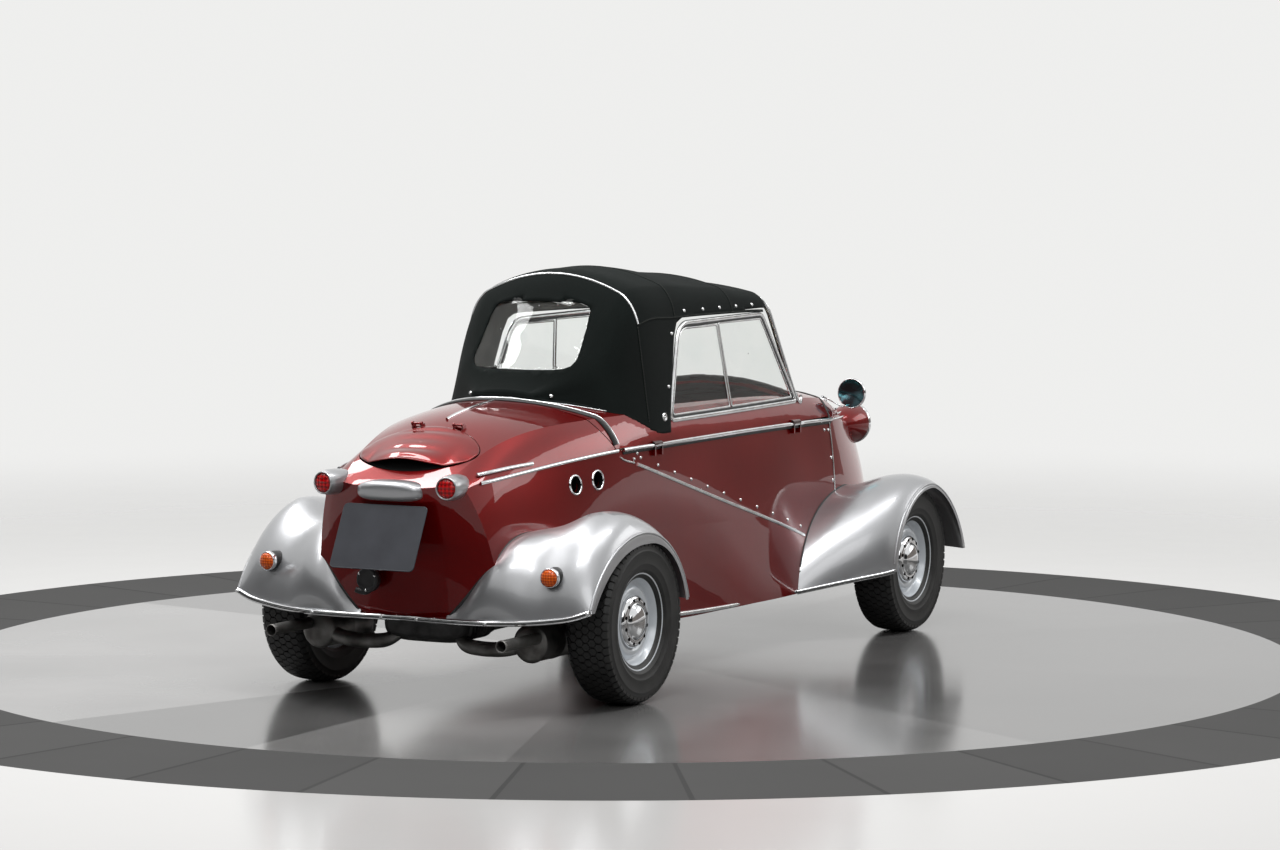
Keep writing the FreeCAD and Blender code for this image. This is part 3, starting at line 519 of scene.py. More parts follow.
def buildStudTree():  # a domed stud on each point, standing along "lie"
    tree, maker, given = newTree("stud", {"Radius": 0.005, "Height": 0.003})
    dome = maker.node("GeometryNodeMeshUVSphere", {"Segments": 12, "Rings": 6, "Radius": 1.0})["Mesh"]
    size = maker.node("ShaderNodeCombineXYZ", {
        "X": given["Radius"], "Y": given["Radius"], "Z": given["Height"]})["Vector"]
    shaped = maker.node("GeometryNodeTransform", {"Geometry": dome, "Scale": size})["Geometry"]
    lie = lieOf(maker)
    turn = maker.node("FunctionNodeAlignRotationToVector", {"Vector": lie}, {"axis": "Z"})["Rotation"]
    placed = maker.node("GeometryNodeInstanceOnPoints", {
        "Points": given["Geometry"], "Instance": shaped, "Rotation": turn})["Instances"]
    endTree(maker, placed, given)
    return tree


def buildRingTree():  # copies of one cell set evenly round the Y axis
    tree, maker, given = newTree("ringOfCells", {"Count": 12})
    spots = maker.node("GeometryNodePoints", {"Count": given["Count"], "Position": (0.0, 0.0, 0.0)})["Points"]
    number = maker.node("GeometryNodeInputIndex")["Index"]
    angle = number * (2 * math.pi) / given["Count"]
    turn = maker.node("ShaderNodeCombineXYZ", {"Y": angle})["Vector"]
    placed = maker.node("GeometryNodeInstanceOnPoints", {
        "Points": spots, "Instance": given["Geometry"], "Rotation": turn})["Instances"]
    endTree(maker, placed, given, False)
    return tree


beadTree = buildBeadTree()
studTree = buildStudTree()
ringTree = buildRingTree()


def grown(mesh, tree, values):  # the plain mesh that a tree makes of a mesh
    holder = linked("holder", mesh)
    modifier = holder.modifiers.new("grow", "NODES")
    modifier.node_group = tree
    for item in tree.interface.items_tree:
        if item.in_out == "INPUT" and item.name in values:
            modifier[item.identifier] = values[item.name]
    return settled(holder)


# Making and placing pieces

def painted(mesh, material):
    mesh.materials.clear()
    mesh.materials.append(material)
    return mesh


def addPiece(name, mesh, body, slot, material=None, replaced=()):
    mesh.name = name
    piece = linked(name, painted(mesh, material) if material else mesh)
    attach(piece, body)
    if replaced:
        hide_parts(*replaced)
    return piece


def meshOf(points, faces, smooth=True):
    mesh = bpy.data.meshes.new("piece")
    mesh.from_pydata([tuple(point) for point in points], [], faces)
    shell = bmesh.new()
    shell.from_mesh(mesh)
    bmesh.ops.remove_doubles(shell, verts=shell.verts, dist=0.00002)
    bmesh.ops.recalc_face_normals(shell, faces=shell.faces)
    shell.to_mesh(mesh)
    shell.free()
    return smoothed(mesh, smooth)


def meshFrom(shell, materials=()):  # the plain mesh of a shell that is done with
    mesh = bpy.data.meshes.new("piece")
    shell.to_mesh(mesh)
    shell.free()
    for material in materials:
        mesh.materials.append(material)
    return mesh


def joined(meshes):  # one mesh from several, materials kept
    shell = bmesh.new()
    materials = []
    for mesh in meshes:
        start = len(shell.faces)
        shell.from_mesh(mesh)
        shell.faces.ensure_lookup_table()
        slots = []
        for material in mesh.materials:
            if material not in materials:
                materials.append(material)
            slots.append(materials.index(material))
        if slots:
            for face in shell.faces[start:]:
                face.material_index = slots[min(face.material_index, len(slots) - 1)]
    return meshFrom(shell, materials)


def mirroredMesh(mesh):  # the other side's copy, faces still outwards
    shell = bmesh.new()
    shell.from_mesh(mesh)
    bmesh.ops.scale(shell, vec=(1, -1, 1), verts=shell.verts)
    bmesh.ops.reverse_faces(shell, faces=shell.faces)
    return meshFrom(shell, mesh.materials)


def turns(count, shift=0.0):  # even angles round a circle
    return [2 * math.pi * (number + shift) / count for number in range(count)]


def lathe(profile, centre, axis, steps=72):  # (radius, offset along the axis) points turned about it
    axis = Vector(axis).normalized()
    side = axis.orthogonal().normalized()
    up = axis.cross(side)
    centre = Vector(centre)
    points, faces = [], []
    for angle in turns(steps):
        outward = side * math.cos(angle) + up * math.sin(angle)
        points += [centre + outward * radius + axis * offset for radius, offset in profile]
    count = len(profile)
    for step in range(steps):
        ahead = (step + 1) % steps
        for number in range(count - 1):
            faces.append((step * count + number, step * count + number + 1,
                          ahead * count + number + 1, ahead * count + number))
    return meshOf(points, faces)


def spun(profile, centre, material, axis=(1, 0, 0), steps=72):
    return painted(lathe(profile, centre, axis, steps), material)


def squared(angle, power):  # a point of a circle drawn out towards a square
    return (math.copysign(abs(part) ** power, part) for part in (math.cos(angle), math.sin(angle)))


def gridMesh(rows, closeAcross=False):  # quads between rows of equally many points
    count = len(rows[0])
    points = [point for row in rows for point in row]
    faces = []
    for number in range(len(rows) - 1):
        for place in range(count if closeAcross else count - 1):
            following = (place + 1) % count
            faces.append((number * count + place, number * count + following,
                          (number + 1) * count + following, (number + 1) * count + place))
    return meshOf(points, faces)


def smoothCurve(stops, share):  # smooth reading of rows of numbers at a share from 0 to 1 of the row count
    place = share * (len(stops) - 1)
    number = min(int(place), len(stops) - 2)
    part = place - number
    before, start, end, after = (stops[clamped(number + shift, 0, len(stops) - 1)] for shift in (-1, 0, 1, 2))
    values = []
    for a, b, c, d in zip(before, start, end, after):
        values.append(0.5 * (2 * b + (c - a) * part + (2 * a - 5 * b + 4 * c - d) * part ** 2
                             + (3 * b - a - 3 * c + d) * part ** 3))
    return values


def smoothPath(stops, count):
    return [smoothCurve(stops, number / (count - 1)) for number in range(count)]


def skinOf(*names):
    points, faces = [], []
    for name in names:
        start = len(points)
        points += [vertex.co.copy() for vertex in nodes[name].data.vertices]
        faces += [[start + corner for corner in face.vertices] for face in nodes[name].data.polygons]
    return BVHTree.FromPolygons(points, faces)


bodySkin = skinOf("tub", "tail", "nose", "canopy_base")
farOut = 3.0
seamShifts = (-0.009, 0.0, 0.009)  # rays side by side, so that one misses a seam


def cast(skin, start, direction):
    point, normal, _, _ = skin.ray_cast(Vector(start), Vector(direction))
    if point is None:
        return None
    if normal.dot(Vector(direction)) > 0:
        normal = -normal
    return point, normal


def outermost(skin, starts, direction):  # the nearest hit of several close rays, so that a seam is bridged
    hits = [hit for hit in (cast(skin, start, direction) for start in starts) if hit]
    return min(hits, key=lambda hit: hit[0].dot(Vector(direction)))


def onSide(x, z, side):
    starts = [(x, side * farOut, z + shift) for shift in seamShifts]
    point, normal = outermost(bodySkin, starts, (0, -side, 0))
    return Vector((x, point.y, z)), normal


def onTop(x, y, skin=bodySkin):
    point, normal = outermost(skin, [(x + shift, y, farOut) for shift in seamShifts], (0, 0, -1))
    return Vector((x, y, point.z)), normal


def onRear(y, z):
    point, normal = outermost(bodySkin, [(-farOut, y, z + shift) for shift in seamShifts], (1, 0, 0))
    return Vector((point.x, y, z)), normal


def liePoints(paths, lift=0.0):  # a mesh of lines or points that know how they lie
    points, lies, edges = [], [], []
    for path in paths:
        start = len(points)
        points += [point + normal * lift for point, normal in path]
        lies += [normal for _, normal in path]
        edges += [(start + number, start + number + 1) for number in range(len(path) - 1)]
    mesh = bpy.data.meshes.new("lines")
    mesh.from_pydata([tuple(point) for point in points], edges, [])
    attribute = mesh.attributes.new("lie", "FLOAT_VECTOR", "POINT")
    attribute.data.foreach_set("vector", [value for normal in lies for value in normal])
    return mesh


def bead(paths, width, height, material, lift=0.0, sides=12):
    return grown(liePoints(paths, lift), beadTree, {
        "Width": width, "Height": height, "Sides": sides, "Material": material})


def studs(spots, radius, height, material):
    mesh = liePoints([[spot] for spot in spots])
    return grown(mesh, studTree, {"Radius": radius, "Height": height, "Material": material})


def addBead(name, paths, width, height, body, slot, material, lift=0.0, sides=12):
    addPiece(name, bead(paths, width, height, material, lift, sides), body, slot, material)


def moved(path, *step):  # a path's points all shifted one way
    return [(point + Vector(step), normal) for point, normal in path]


def eased(path, turns=2):  # neighbours averaged, ends kept, so that a trim runs smoothly
    for _ in range(turns):
        kept = list(path)
        for number in range(1, len(path) - 1):
            point = (kept[number - 1][0] + kept[number][0] * 2 + kept[number + 1][0]) / 4
            normal = (kept[number - 1][1] + kept[number][1] * 2 + kept[number + 1][1]).normalized()
            path[number] = (point, normal)
    return path


buildUnlitWalls()
print("helpers ready")


# Belt strips, seams and rivets

trimSettings = {
    "beltLine": [(-1.304, 0.66), (-1.12, 0.676), (-0.88, 0.697), (-0.64, 0.709), (-0.3, 0.711),
                 (0.1, 0.711), (0.5, 0.709), (0.72, 0.706), (0.854, 0.704)],
    "beltBreak": -0.645,  # where the tail's thin strip becomes the canopy's wide one
    "beltSize": (0.013, 0.01),  # width and height of the canopy's strip
    "beltLift": 0.004,
    "tailSize": (0.01105, 0.008),
    "rubberSize": (0.014, 0.007),
    "rubberDrop": 0.007,
    "upperStrip": [(-1.3, 0.684), (-1.18, 0.694), (-1.06, 0.7)],
    "spine": [(-0.8, 0.0), (-0.9, 0.0), (-1.0, 0.0), (-1.075, 0.0)],
    "spineSize": 0.009,
    "band": [(-0.652, 0.336), (-0.668, 0.31), (-0.705, 0.25), (-0.748, 0.16), (-0.778, 0.08),
             (-0.786, 0.0)],
    "bandSize": (0.026, 0.013),
    "bandLine": (0.007, 0.006),
    "bandStep": 0.006,
    "doorLine": [(-0.54, 0.661), (0.56, 0.346)],
    "doorStart": [(-0.64, 0.69), (-0.615, 0.678), (-0.56, 0.667)],
    "doorSize": (0.011, 0.006),
    "frontSeam": [(0.838, 0.695), (0.836, 0.6), (0.834, 0.47)],
    "seamSize": (0.006, 0.005),
    "rivets": [-0.52 + number * 0.105 for number in range(11)],
    "rivetLift": 0.024,
    "looseRivets": [(-0.56, 0.678), (-0.54, 0.694), (0.822, 0.672), (0.822, 0.58), (0.822, 0.505),
                    (0.79, 0.674)],
    "rivetSize": (0.0055, 0.0035),
}
doorBodies = {"right": "body", "left": "canopy"}  # the left door panel lifts with the canopy


def sidePath(stops, side, count, ease=3):
    return eased([onSide(x, z, side) for x, z in smoothPath(stops, count)], ease)


def buildBelt():
    settings = trimSettings
    tail, canopy, rubbers = [], [], {}
    for name, side in sides.items():
        line = sidePath(settings["beltLine"], side, 90)
        split = next(number for number, (point, _) in enumerate(line) if point.x > settings["beltBreak"])
        tail += [line[:split], sidePath(settings["upperStrip"], side, 16)]
        canopy.append(line[split:])
        rubbers[name] = moved(line[split:], 0, 0, -settings["rubberDrop"])
    addBead("tail_belt_strip", tail, *settings["tailSize"], "body", "chrome_trim", chrome)
    size, lift = settings["beltSize"], settings["beltLift"]
    addBead("canopy_belt_strip", canopy, *size, "canopy", "chrome_trim", chrome, lift)
    size = settings["rubberSize"]
    for name, rubber in rubbers.items():
        addBead("belt_rubber_" + name, [rubber], *size, doorBodies[name], "bar_black", sealRubber)


def buildBand():
    settings = trimSettings
    half = settings["band"]
    stops = half + [(x, -y) for x, y in reversed(half[:-1])]
    path = eased([onTop(x, y) for x, y in smoothPath(stops, 80)], 3)
    step = settings["bandStep"]
    rubber = bead([path], *settings["bandSize"], sealRubber)
    chromeLine = bead([moved(path, step, 0, 0)], *settings["bandLine"], chrome, lift=step)
    addPiece("canopy_rear_band", joined([rubber, chromeLine]), "canopy", "bar_black")


def buildSideTrims():
    settings = trimSettings
    (startX, startZ), (endX, endZ) = settings["doorLine"]
    slope = (endZ - startZ) / (endX - startX)
    strips, seams = [], []
    for name, side in sides.items():
        strips.append(sidePath(settings["doorLine"], side, 40, 1))
        seams += [sidePath(settings["doorStart"], side, 8, 1), sidePath(settings["frontSeam"], side, 20, 1)]
        spots = [(x, startZ + (x - startX) * slope + settings["rivetLift"]) for x in settings["rivets"]]
        rivets = [onSide(x, z, side) for x, z in spots + settings["looseRivets"]]
        rivets = studs(rivets, *settings["rivetSize"], brightTrim)
        addPiece("door_rivets_" + name, rivets, doorBodies[name], "chrome_trim")
    body = [bead(strips, *settings["doorSize"], brightTrim), bead(seams, *settings["seamSize"], brightTrim)]
    addPiece("side_strips", joined(body), "body", "chrome_trim")


def buildSpine():
    path = [onTop(x, y) for x, y in smoothPath(trimSettings["spine"], 20)]
    size = trimSettings["spineSize"]
    addBead("tail_spine_strip", [eased(path, 2)], size, size, "body", "chrome_trim", chrome)


buildBelt()
buildBand()
buildSideTrims()
buildSpine()
print("trims made")


# Soft top

hoodSettings = {
    # x, half width and height at base, side and corner, height at the middle
    "sections": [(0.7, 0.32, 0.74, 0.288, 1.06, 0.24, 1.11, 1.13),
                 (0.46, 0.33, 0.74, 0.296, 1.08, 0.246, 1.142, 1.172),
                 (0.206, 0.336, 0.74, 0.298, 1.086, 0.25, 1.165, 1.208),
                 (-0.2, 0.341, 0.74, 0.3, 1.086, 0.252, 1.186, 1.243),
                 (-0.43, 0.338, 0.74, 0.293, 1.07, 0.238, 1.166, 1.226),
                 (-0.6, 0.286, 0.77, 0.246, 0.9, 0.19, 0.985, 1.036),
                 (-0.74, 0.13, 0.84, 0.112, 0.866, 0.084, 0.88, 0.888)],
    "corners": (0.46, 0.62),  # shares of half the arch at which its side and its corner end
    "bulge": (0.008, 0.0064),  # how far the corner stands out, across and up
    "front": 0.462,
    "rear": -0.738,
    "bows": (0.455, 0.206, -0.2, -0.43),
    "sag": 0.007,
    "crowding": 0.06,  # how far the rows crowd towards the ends
    "closing": (0.12, 0.45, 0.8, 1.0),  # shares of the way down behind the last arch
    "closingBack": 0.01,
    "closingSink": 0.004,
    "closingNarrower": 0.05,
    "cloth": 0.003,
    "cut": (1.5, 1.45),  # width over the bows and length
    "columns": 150,
    "rows": 120,
    "windowEdge": [(-0.312, 0.7), (-0.296, 0.79), (-0.216, 1.03), (-0.19, 1.072), (-0.15, 1.086),
                   (0.1, 1.09), (0.44, 1.094), (0.76, 1.096), (0.76, 0.7)],
    "paneMiddle": (0.0, 1.045),
    "paneHalf": (0.176, 0.1),
    "paneRound": 7.0,
    "paneFrom": -0.3,  # only what lies behind this is cut for the rear window
    "paneHidden": 0.008,  # how far the pane runs under the cloth
    "paneStep": 0.004,
    "paneThickness": 0.0012,
    "piping": 0.008,
    "pipingShares": (0.235, 0.765),
    "snapLine": (1.106, [-0.13, 0.0, 0.12, 0.24, 0.36]),  # height, then places along the car
    "looseSnaps": [(-0.232, 1.04), (-0.29, 0.88)],
    "snapSize": (0.0065, 0.0045),
}


def hoodSection(x):  # the arch's numbers at one place along the car
    rows = hoodSettings["sections"]
    number = next((number for number in range(len(rows) - 1) if rows[number + 1][0] <= x), len(rows) - 2)
    part = (x - rows[number][0]) / (rows[number + 1][0] - rows[number][0])
    return smoothCurve(rows, (number + part) / (len(rows) - 1))


def archPoint(section, share):  # share runs from the right base (0) over the top (0.5) to the left base (1)
    _, baseY, baseZ, sideY, sideZ, cornerY, cornerZ, topZ = section
    half = min(share, 1 - share) * 2
    sideShare, cornerShare = hoodSettings["corners"]
    if half < sideShare:
        part = half / sideShare
        y, z = between(baseY, sideY, part), between(baseZ, sideZ, part)
    elif half < cornerShare:
        part = (half - sideShare) / (cornerShare - sideShare)
        bulge = math.sin(part * math.pi)
        y = between(sideY, cornerY, part) + bulge * hoodSettings["bulge"][0]
        z = between(sideZ, cornerZ, part) + bulge * hoodSettings["bulge"][1]
    else:
        part = (half - cornerShare) / (1 - cornerShare)
        y = cornerY * (1 - part)
        z = topZ - (topZ - cornerZ) * (1 - part) ** 2
    return (-y if share < 0.5 else y), z


def hoodPoint(x, share):
    y, z = archPoint(hoodSection(x), share)
    return Vector((x, y, z))


def nearestOnLine(place, line, closed=False):
    best, found = None, 1e9
    ends = line[1:] + (line[:1] if closed else [])
    for start, end in zip(line, ends):
        along = Vector(end) - Vector(start)
        part = clamped((Vector(place) - Vector(start)).dot(along) / along.length_squared)
        spot = Vector(start) + along * part
        if (spot - Vector(place)).length < found:
            best, found = spot, (spot - Vector(place)).length
    return best


def insideLine(place, line):
    inside = False
    for (x0, z0), (x1, z1) in zip(line, line[1:] + line[:1]):
        if (z0 > place[1]) != (z1 > place[1]) and place[0] < (x1 - x0) * (place[1] - z0) / (z1 - z0) + x0:
            inside = not inside
    return inside


def roundOutline(middle, half, fullness, count=72, narrower=0.04):
    outline = []
    for angle in turns(count):
        across, up = squared(angle, 2 / fullness)
        outline.append((middle[0] + half[0] * across * (1 - narrower * up), middle[1] + half[1] * up))
    return outline


def trimmed(shell, keep, outline, pick, put, test=lambda point: True):  # cuts a grid along an outline
    def isDoomed(middle):
        return test(middle) and insideLine(pick(middle), outline) != keep

    doomed = [face for face in shell.faces if isDoomed(face.calc_center_median())]
    edge = set()
    for face in doomed:
        edge.update(face.verts)
    bmesh.ops.delete(shell, geom=doomed, context="FACES")
    for vertex in [vertex for vertex in edge if vertex.is_valid and vertex.link_faces]:
        spot = nearestOnLine(pick(vertex.co), outline, True)
        put(vertex, spot)


def canvasSag(x):
    bows = hoodSettings["bows"]
    for ahead, behind in zip(bows, bows[1:]):
        if behind < x < ahead:
            return hoodSettings["sag"] * math.sin(math.pi * (x - behind) / (ahead - behind)) ** 2
    return 0.0


def hoodShell(rows, columns):
    settings = hoodSettings
    front, rear = settings["front"], settings["rear"]
    shell = bmesh.new()
    grid = []
    for number in range(rows + 1):
        part = number / rows
        x = front + (rear - front) * (part + settings["crowding"] * math.sin(2 * math.pi * part))
        line = []
        for place in range(columns + 1):
            share = place / columns
            point = hoodPoint(x, share)
            crown = clamped((min(share, 1 - share) * 2 - 0.5) * 3)
            point.z -= canvasSag(x) * crown
            line.append(shell.verts.new(point))
        grid.append(line)
    for part in settings["closing"]:  # the cloth closes down to the body behind its last arch
        x = rear - settings["closingBack"] * math.sin(part * math.pi / 2)
        narrow = 1 - settings["closingNarrower"] * part
        line = []
        for vertex in grid[rows]:
            level = onTop(x, vertex.co.y)[0].z - settings["closingSink"]
            drop = (level - vertex.co.z) * part ** 1.6
            line.append(shell.verts.new((x, vertex.co.y * narrow, vertex.co.z + drop)))
        grid.append(line)
    for first, second in zip(grid, grid[1:]):
        for a, b, c, d in zip(first, first[1:], second[1:], second):
            shell.faces.new((a, b, c, d))
    bmesh.ops.recalc_face_normals(shell, faces=shell.faces)
    if shell.faces[len(shell.faces) // 2].normal.z < 0:
        bmesh.ops.reverse_faces(shell, faces=shell.faces)
    return shell


def putSide(vertex, spot):
    vertex.co.x, vertex.co.z = spot


def putRear(vertex, spot):
    vertex.co.y, vertex.co.z = spot


def fromSide(point):
    return point.x, point.z


def fromRear(point):
    return point.y, point.z


def atRear(point):
    return point.x < hoodSettings["paneFrom"]


def dropLoose(shell):
    loose = [vertex for vertex in shell.verts if not vertex.link_faces]
    bmesh.ops.delete(shell, geom=loose, context="VERTS")


def dropToBody(shell):  # the cloth ends on the body's surface
    under = {}
    for vertex in shell.verts:
        hit = cast(bodySkin, (vertex.co.x, vertex.co.y, farOut), (0, 0, -1))
        if hit and vertex.co.z < hit[0].z:
            under[vertex] = hit[0].z
    doomed = [face for face in shell.faces if all(vertex in under for vertex in face.verts)]
    bmesh.ops.delete(shell, geom=doomed, context="FACES")
    for vertex, level in under.items():
        if vertex.is_valid and vertex.link_faces:
            vertex.co.z = level + 0.001
    dropLoose(shell)


def finishedMesh(mesh, *modifiers):  # the mesh with its modifiers applied
    holder = linked("holder", mesh)
    for kind, settings in modifiers:
        modifier = holder.modifiers.new(kind, kind)
        for name, value in settings.items():
            setattr(modifier, name, value)
    return settled(holder)


def thickened(mesh, thickness, inner=0):
    settings = {"thickness": thickness, "offset": -1.0, "material_offset": inner}
    return finishedMesh(mesh, ("SOLIDIFY", settings))


def buildHood():
    settings = hoodSettings
    shell = hoodShell(settings["rows"], settings["columns"])
    trimmed(shell, False, settings["windowEdge"], fromSide, putSide)
    outline = roundOutline(settings["paneMiddle"], settings["paneHalf"], settings["paneRound"])
    trimmed(shell, False, outline, fromRear, putRear, atRear)
    dropToBody(shell)
    area = sum(face.calc_area() for face in shell.faces)
    cloth = smoothed(meshFrom(shell, [canvas, lining]))
    cloth = smoothed(thickened(cloth, settings["cloth"], 1))
    hood = addPiece("soft_top", cloth, "canopy", "black_canvas", None, ["hood"])
    settings["cut"]


def buildRearPane():
    settings = hoodSettings
    pane = hoodShell(settings["rows"], settings["columns"])
    half = [size + settings["paneHidden"] for size in settings["paneHalf"]]
    ahead = [face for face in pane.faces if face.calc_center_median().x > settings["paneFrom"]]
    bmesh.ops.delete(pane, geom=ahead, context="FACES")
    outline = roundOutline(settings["paneMiddle"], half, settings["paneRound"])
    trimmed(pane, True, outline, fromRear, putRear)
    dropLoose(pane)
    for vertex in pane.verts:
        vertex.co.x += settings["paneStep"]
    mesh = thickened(smoothed(meshFrom(pane)), settings["paneThickness"])
    addPiece("rear_pane", mesh, "canopy", "window_glass", windowGlass, ["rear_window"])


def hoodNormal(x, share):
    here = hoodPoint(x, share)
    along = hoodPoint(x - 0.004, share) - here
    around = hoodPoint(x, min(share + 0.004, 1.0)) - hoodPoint(x, max(share - 0.004, 0.0))
    normal = along.cross(around).normalized()
    outward = Vector((0, here.y, here.z - 0.9))
    return normal if normal.dot(outward) > 0 else -normal


def onHood(x, share):
    return hoodPoint(x, share), hoodNormal(x, share)


def shareAt(x, side, z):  # how far round the arch a height on one side lies
    section = hoodSection(x)
    low, high = 0.0, 0.5
    for _ in range(24):
        middle = (low + high) / 2
        if archPoint(section, middle)[1] < z:
            low = middle
        else:
            high = middle
    return low if side < 0 else 1 - low


def buildHoodTrims():
    settings = hoodSettings
    size, shares = settings["piping"], settings["pipingShares"]
    bow = [onHood(settings["bows"][3], between(*shares, number / 60)) for number in range(61)]
    addBead("rear_bow_piping", [bow], size, size, "canopy", "chrome_trim", brightTrim, 0.001)
    level, places = settings["snapLine"]
    spots = [(x, level) for x in places] + settings["looseSnaps"]
    snaps = [onHood(x, shareAt(x, side, z)) for side in sides.values() for x, z in spots]
    addPiece("hood_snaps", studs(snaps, *settings["snapSize"], brightTrim), "canopy", "chrome_trim")


buildHood()
buildRearPane()
buildHoodTrims()
print("soft top made")


# Wheels

wheelSettings = {
    "tyreRadius": 0.241,
    "halfTread": 0.069,
    "roundness": 3.2,
    "cellReach": 0.965,  # shares of the half tread that the blocks and the ground between them cover
    "groundReach": 0.955,
    "cellAround": 0.92,  # a block's length round the tyre as a share of its width
    "shoulderDrop": 0.026,
    "groove": 0.0065,
    "cells": 60,
    "rowPitch": 0.0205,
    "cellSize": 0.0128,
    "slots": 12,
    "slotSpot": (0.0655, 0.0412),  # distance from the axis, then outboard
    "slotSize": (0.0058, 0.0016),
    # (radius, offset outboard) from the outer lip to the hub, the face that shows
    "rimFace": [(0.1275, -0.052), (0.144, -0.051), (0.145, -0.047), (0.1395, -0.044), (0.131, -0.041),
                (0.1265, -0.036), (0.1255, 0.02), (0.127, 0.036), (0.131, 0.041), (0.14, 0.0435),
                (0.1448, 0.047), (0.145, 0.05), (0.143, 0.0522), (0.1395, 0.051), (0.137, 0.047),
                (0.131, 0.044), (0.124, 0.037), (0.1215, 0.022), (0.117, 0.016), (0.11, 0.015),
                (0.106, 0.019), (0.101, 0.027), (0.093, 0.031), (0.086, 0.029), (0.079, 0.024),
                (0.06, 0.02), (0.03, 0.018)],
    "capFace": [(0.0, 0.06), (0.012, 0.0596), (0.024, 0.058), (0.036, 0.0545), (0.045, 0.05), (0.05, 0.045),
                (0.0525, 0.0405), (0.0545, 0.0395), (0.06, 0.0415), (0.068, 0.0405), (0.074, 0.037),
                (0.078, 0.032), (0.079, 0.027), (0.077, 0.024)],
    # (radius, offset) of the inner side wall, from the rim to the tread
    "wall": [(0.1275, -0.042), (0.133, -0.048), (0.144, -0.0525), (0.15, -0.058), (0.153, -0.06),
             (0.156, -0.0592), (0.168, -0.0655), (0.171, -0.0662), (0.173, -0.0655), (0.19, -0.0686),
             (0.205, -0.068), (0.207, -0.0688), (0.2085, -0.0678), (0.215, -0.066)],
    "treadSteps": 24,
    "steps": 96,
}


def crownRadius(offset):
    settings = wheelSettings
    part = min(abs(offset) / settings["halfTread"], 0.999) ** settings["roundness"]
    return settings["tyreRadius"] - settings["shoulderDrop"] * (1 - (1 - part) ** (1 / settings["roundness"]))


def treadCell(middle, shift, depth):  # one six-sided block, bent to the tyre's crown
    settings = wheelSettings
    size = settings["cellSize"]
    limit = settings["halfTread"] * settings["cellReach"]
    top, foot = [], []
    for corner in range(6):
        turn = math.pi / 3 * corner
        offset = clamped(middle + size * math.cos(turn), -limit, limit)
        around = (shift + size * settings["cellAround"] * math.sin(turn)) / settings["tyreRadius"]
        radius = crownRadius(offset)
        for ring, level in ((top, radius), (foot, radius - depth)):
            ring.append((level * math.sin(around), offset, level * math.cos(around)))
    walls = [(number, (number + 1) % 6, (number + 1) % 6 + 6, number + 6) for number in range(6)]
    return top + foot, [tuple(range(6))] + walls


def treadSegment():
    settings = wheelSettings
    pitch = 2 * math.pi * settings["tyreRadius"] / settings["cells"]
    points, faces = [], []
    for row in range(-3, 4):
        shift = pitch / 2 if row % 2 else 0.0
        corners, cellFaces = treadCell(row * settings["rowPitch"], shift, settings["groove"] + 0.002)
        faces += [tuple(len(points) + corner for corner in face) for face in cellFaces]
        points += corners
    return meshOf(points, faces, False)


def wheelPart(profile, centre, outboard, material):
    turned = [(radius, offset * outboard) for radius, offset in profile]
    return spun(turned, centre, material, (0, 1, 0), wheelSettings["steps"])


def tyreProfile():
    settings = wheelSettings
    half, steps = settings["halfTread"] * settings["groundReach"], settings["treadSteps"]
    profile = list(settings["wall"])
    for number in range(steps + 1):
        offset = -half + 2 * half * number / steps
        profile.append((crownRadius(offset) - settings["groove"], offset))
    profile += [(radius, -offset) for radius, offset in reversed(settings["wall"])]
    return profile + profile[:1]


def capSlots(centre, outboard):
    settings = wheelSettings
    radius, offset = settings["slotSpot"]
    ring = []
    for turn in turns(settings["slots"], 0.5):
        spot = centre + Vector((radius * math.cos(turn), offset * outboard, radius * math.sin(turn)))
        ring.append((spot, Vector((0, outboard, 0))))
    return ring


def buildWheels():
    settings = wheelSettings
    tread = grown(treadSegment(), ringTree, {"Count": settings["cells"], "Material": tyreRubber})
    for name in ("front_left", "front_right", "rear_left", "rear_right"):
        low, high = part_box("tyre_" + name)
        centre = (low + high) / 2
        outboard = 1 if centre.y > 0 else -1
        body = "wheel_" + name
        blocks = tread.copy()
        blocks.transform(Matrix.Translation(centre))
        tyre = joined([wheelPart(tyreProfile(), centre, outboard, tyreRubber), blocks])
        addPiece(name + "_tyre", tyre, body, "tyre", None, ["tyre_" + name])
        rim = wheelPart(settings["rimFace"], centre, outboard, rimPaint)
        addPiece(name + "_rim", rim, body, "rim_silver", None, ["rim_" + name])
        cap = wheelPart(settings["capFace"], centre, outboard, chrome)
        # the slots are dark studs on the chrome, painted shade in place of open holes
        slots = studs(capSlots(centre, outboard), *settings["slotSize"], paintedHoleShade)
        addPiece(name + "_cap", joined([cap, slots]), body, "chrome_trim", None, ["hubcap_" + name])


buildWheels()
print("wheels made")


# Lamps, plate and horn

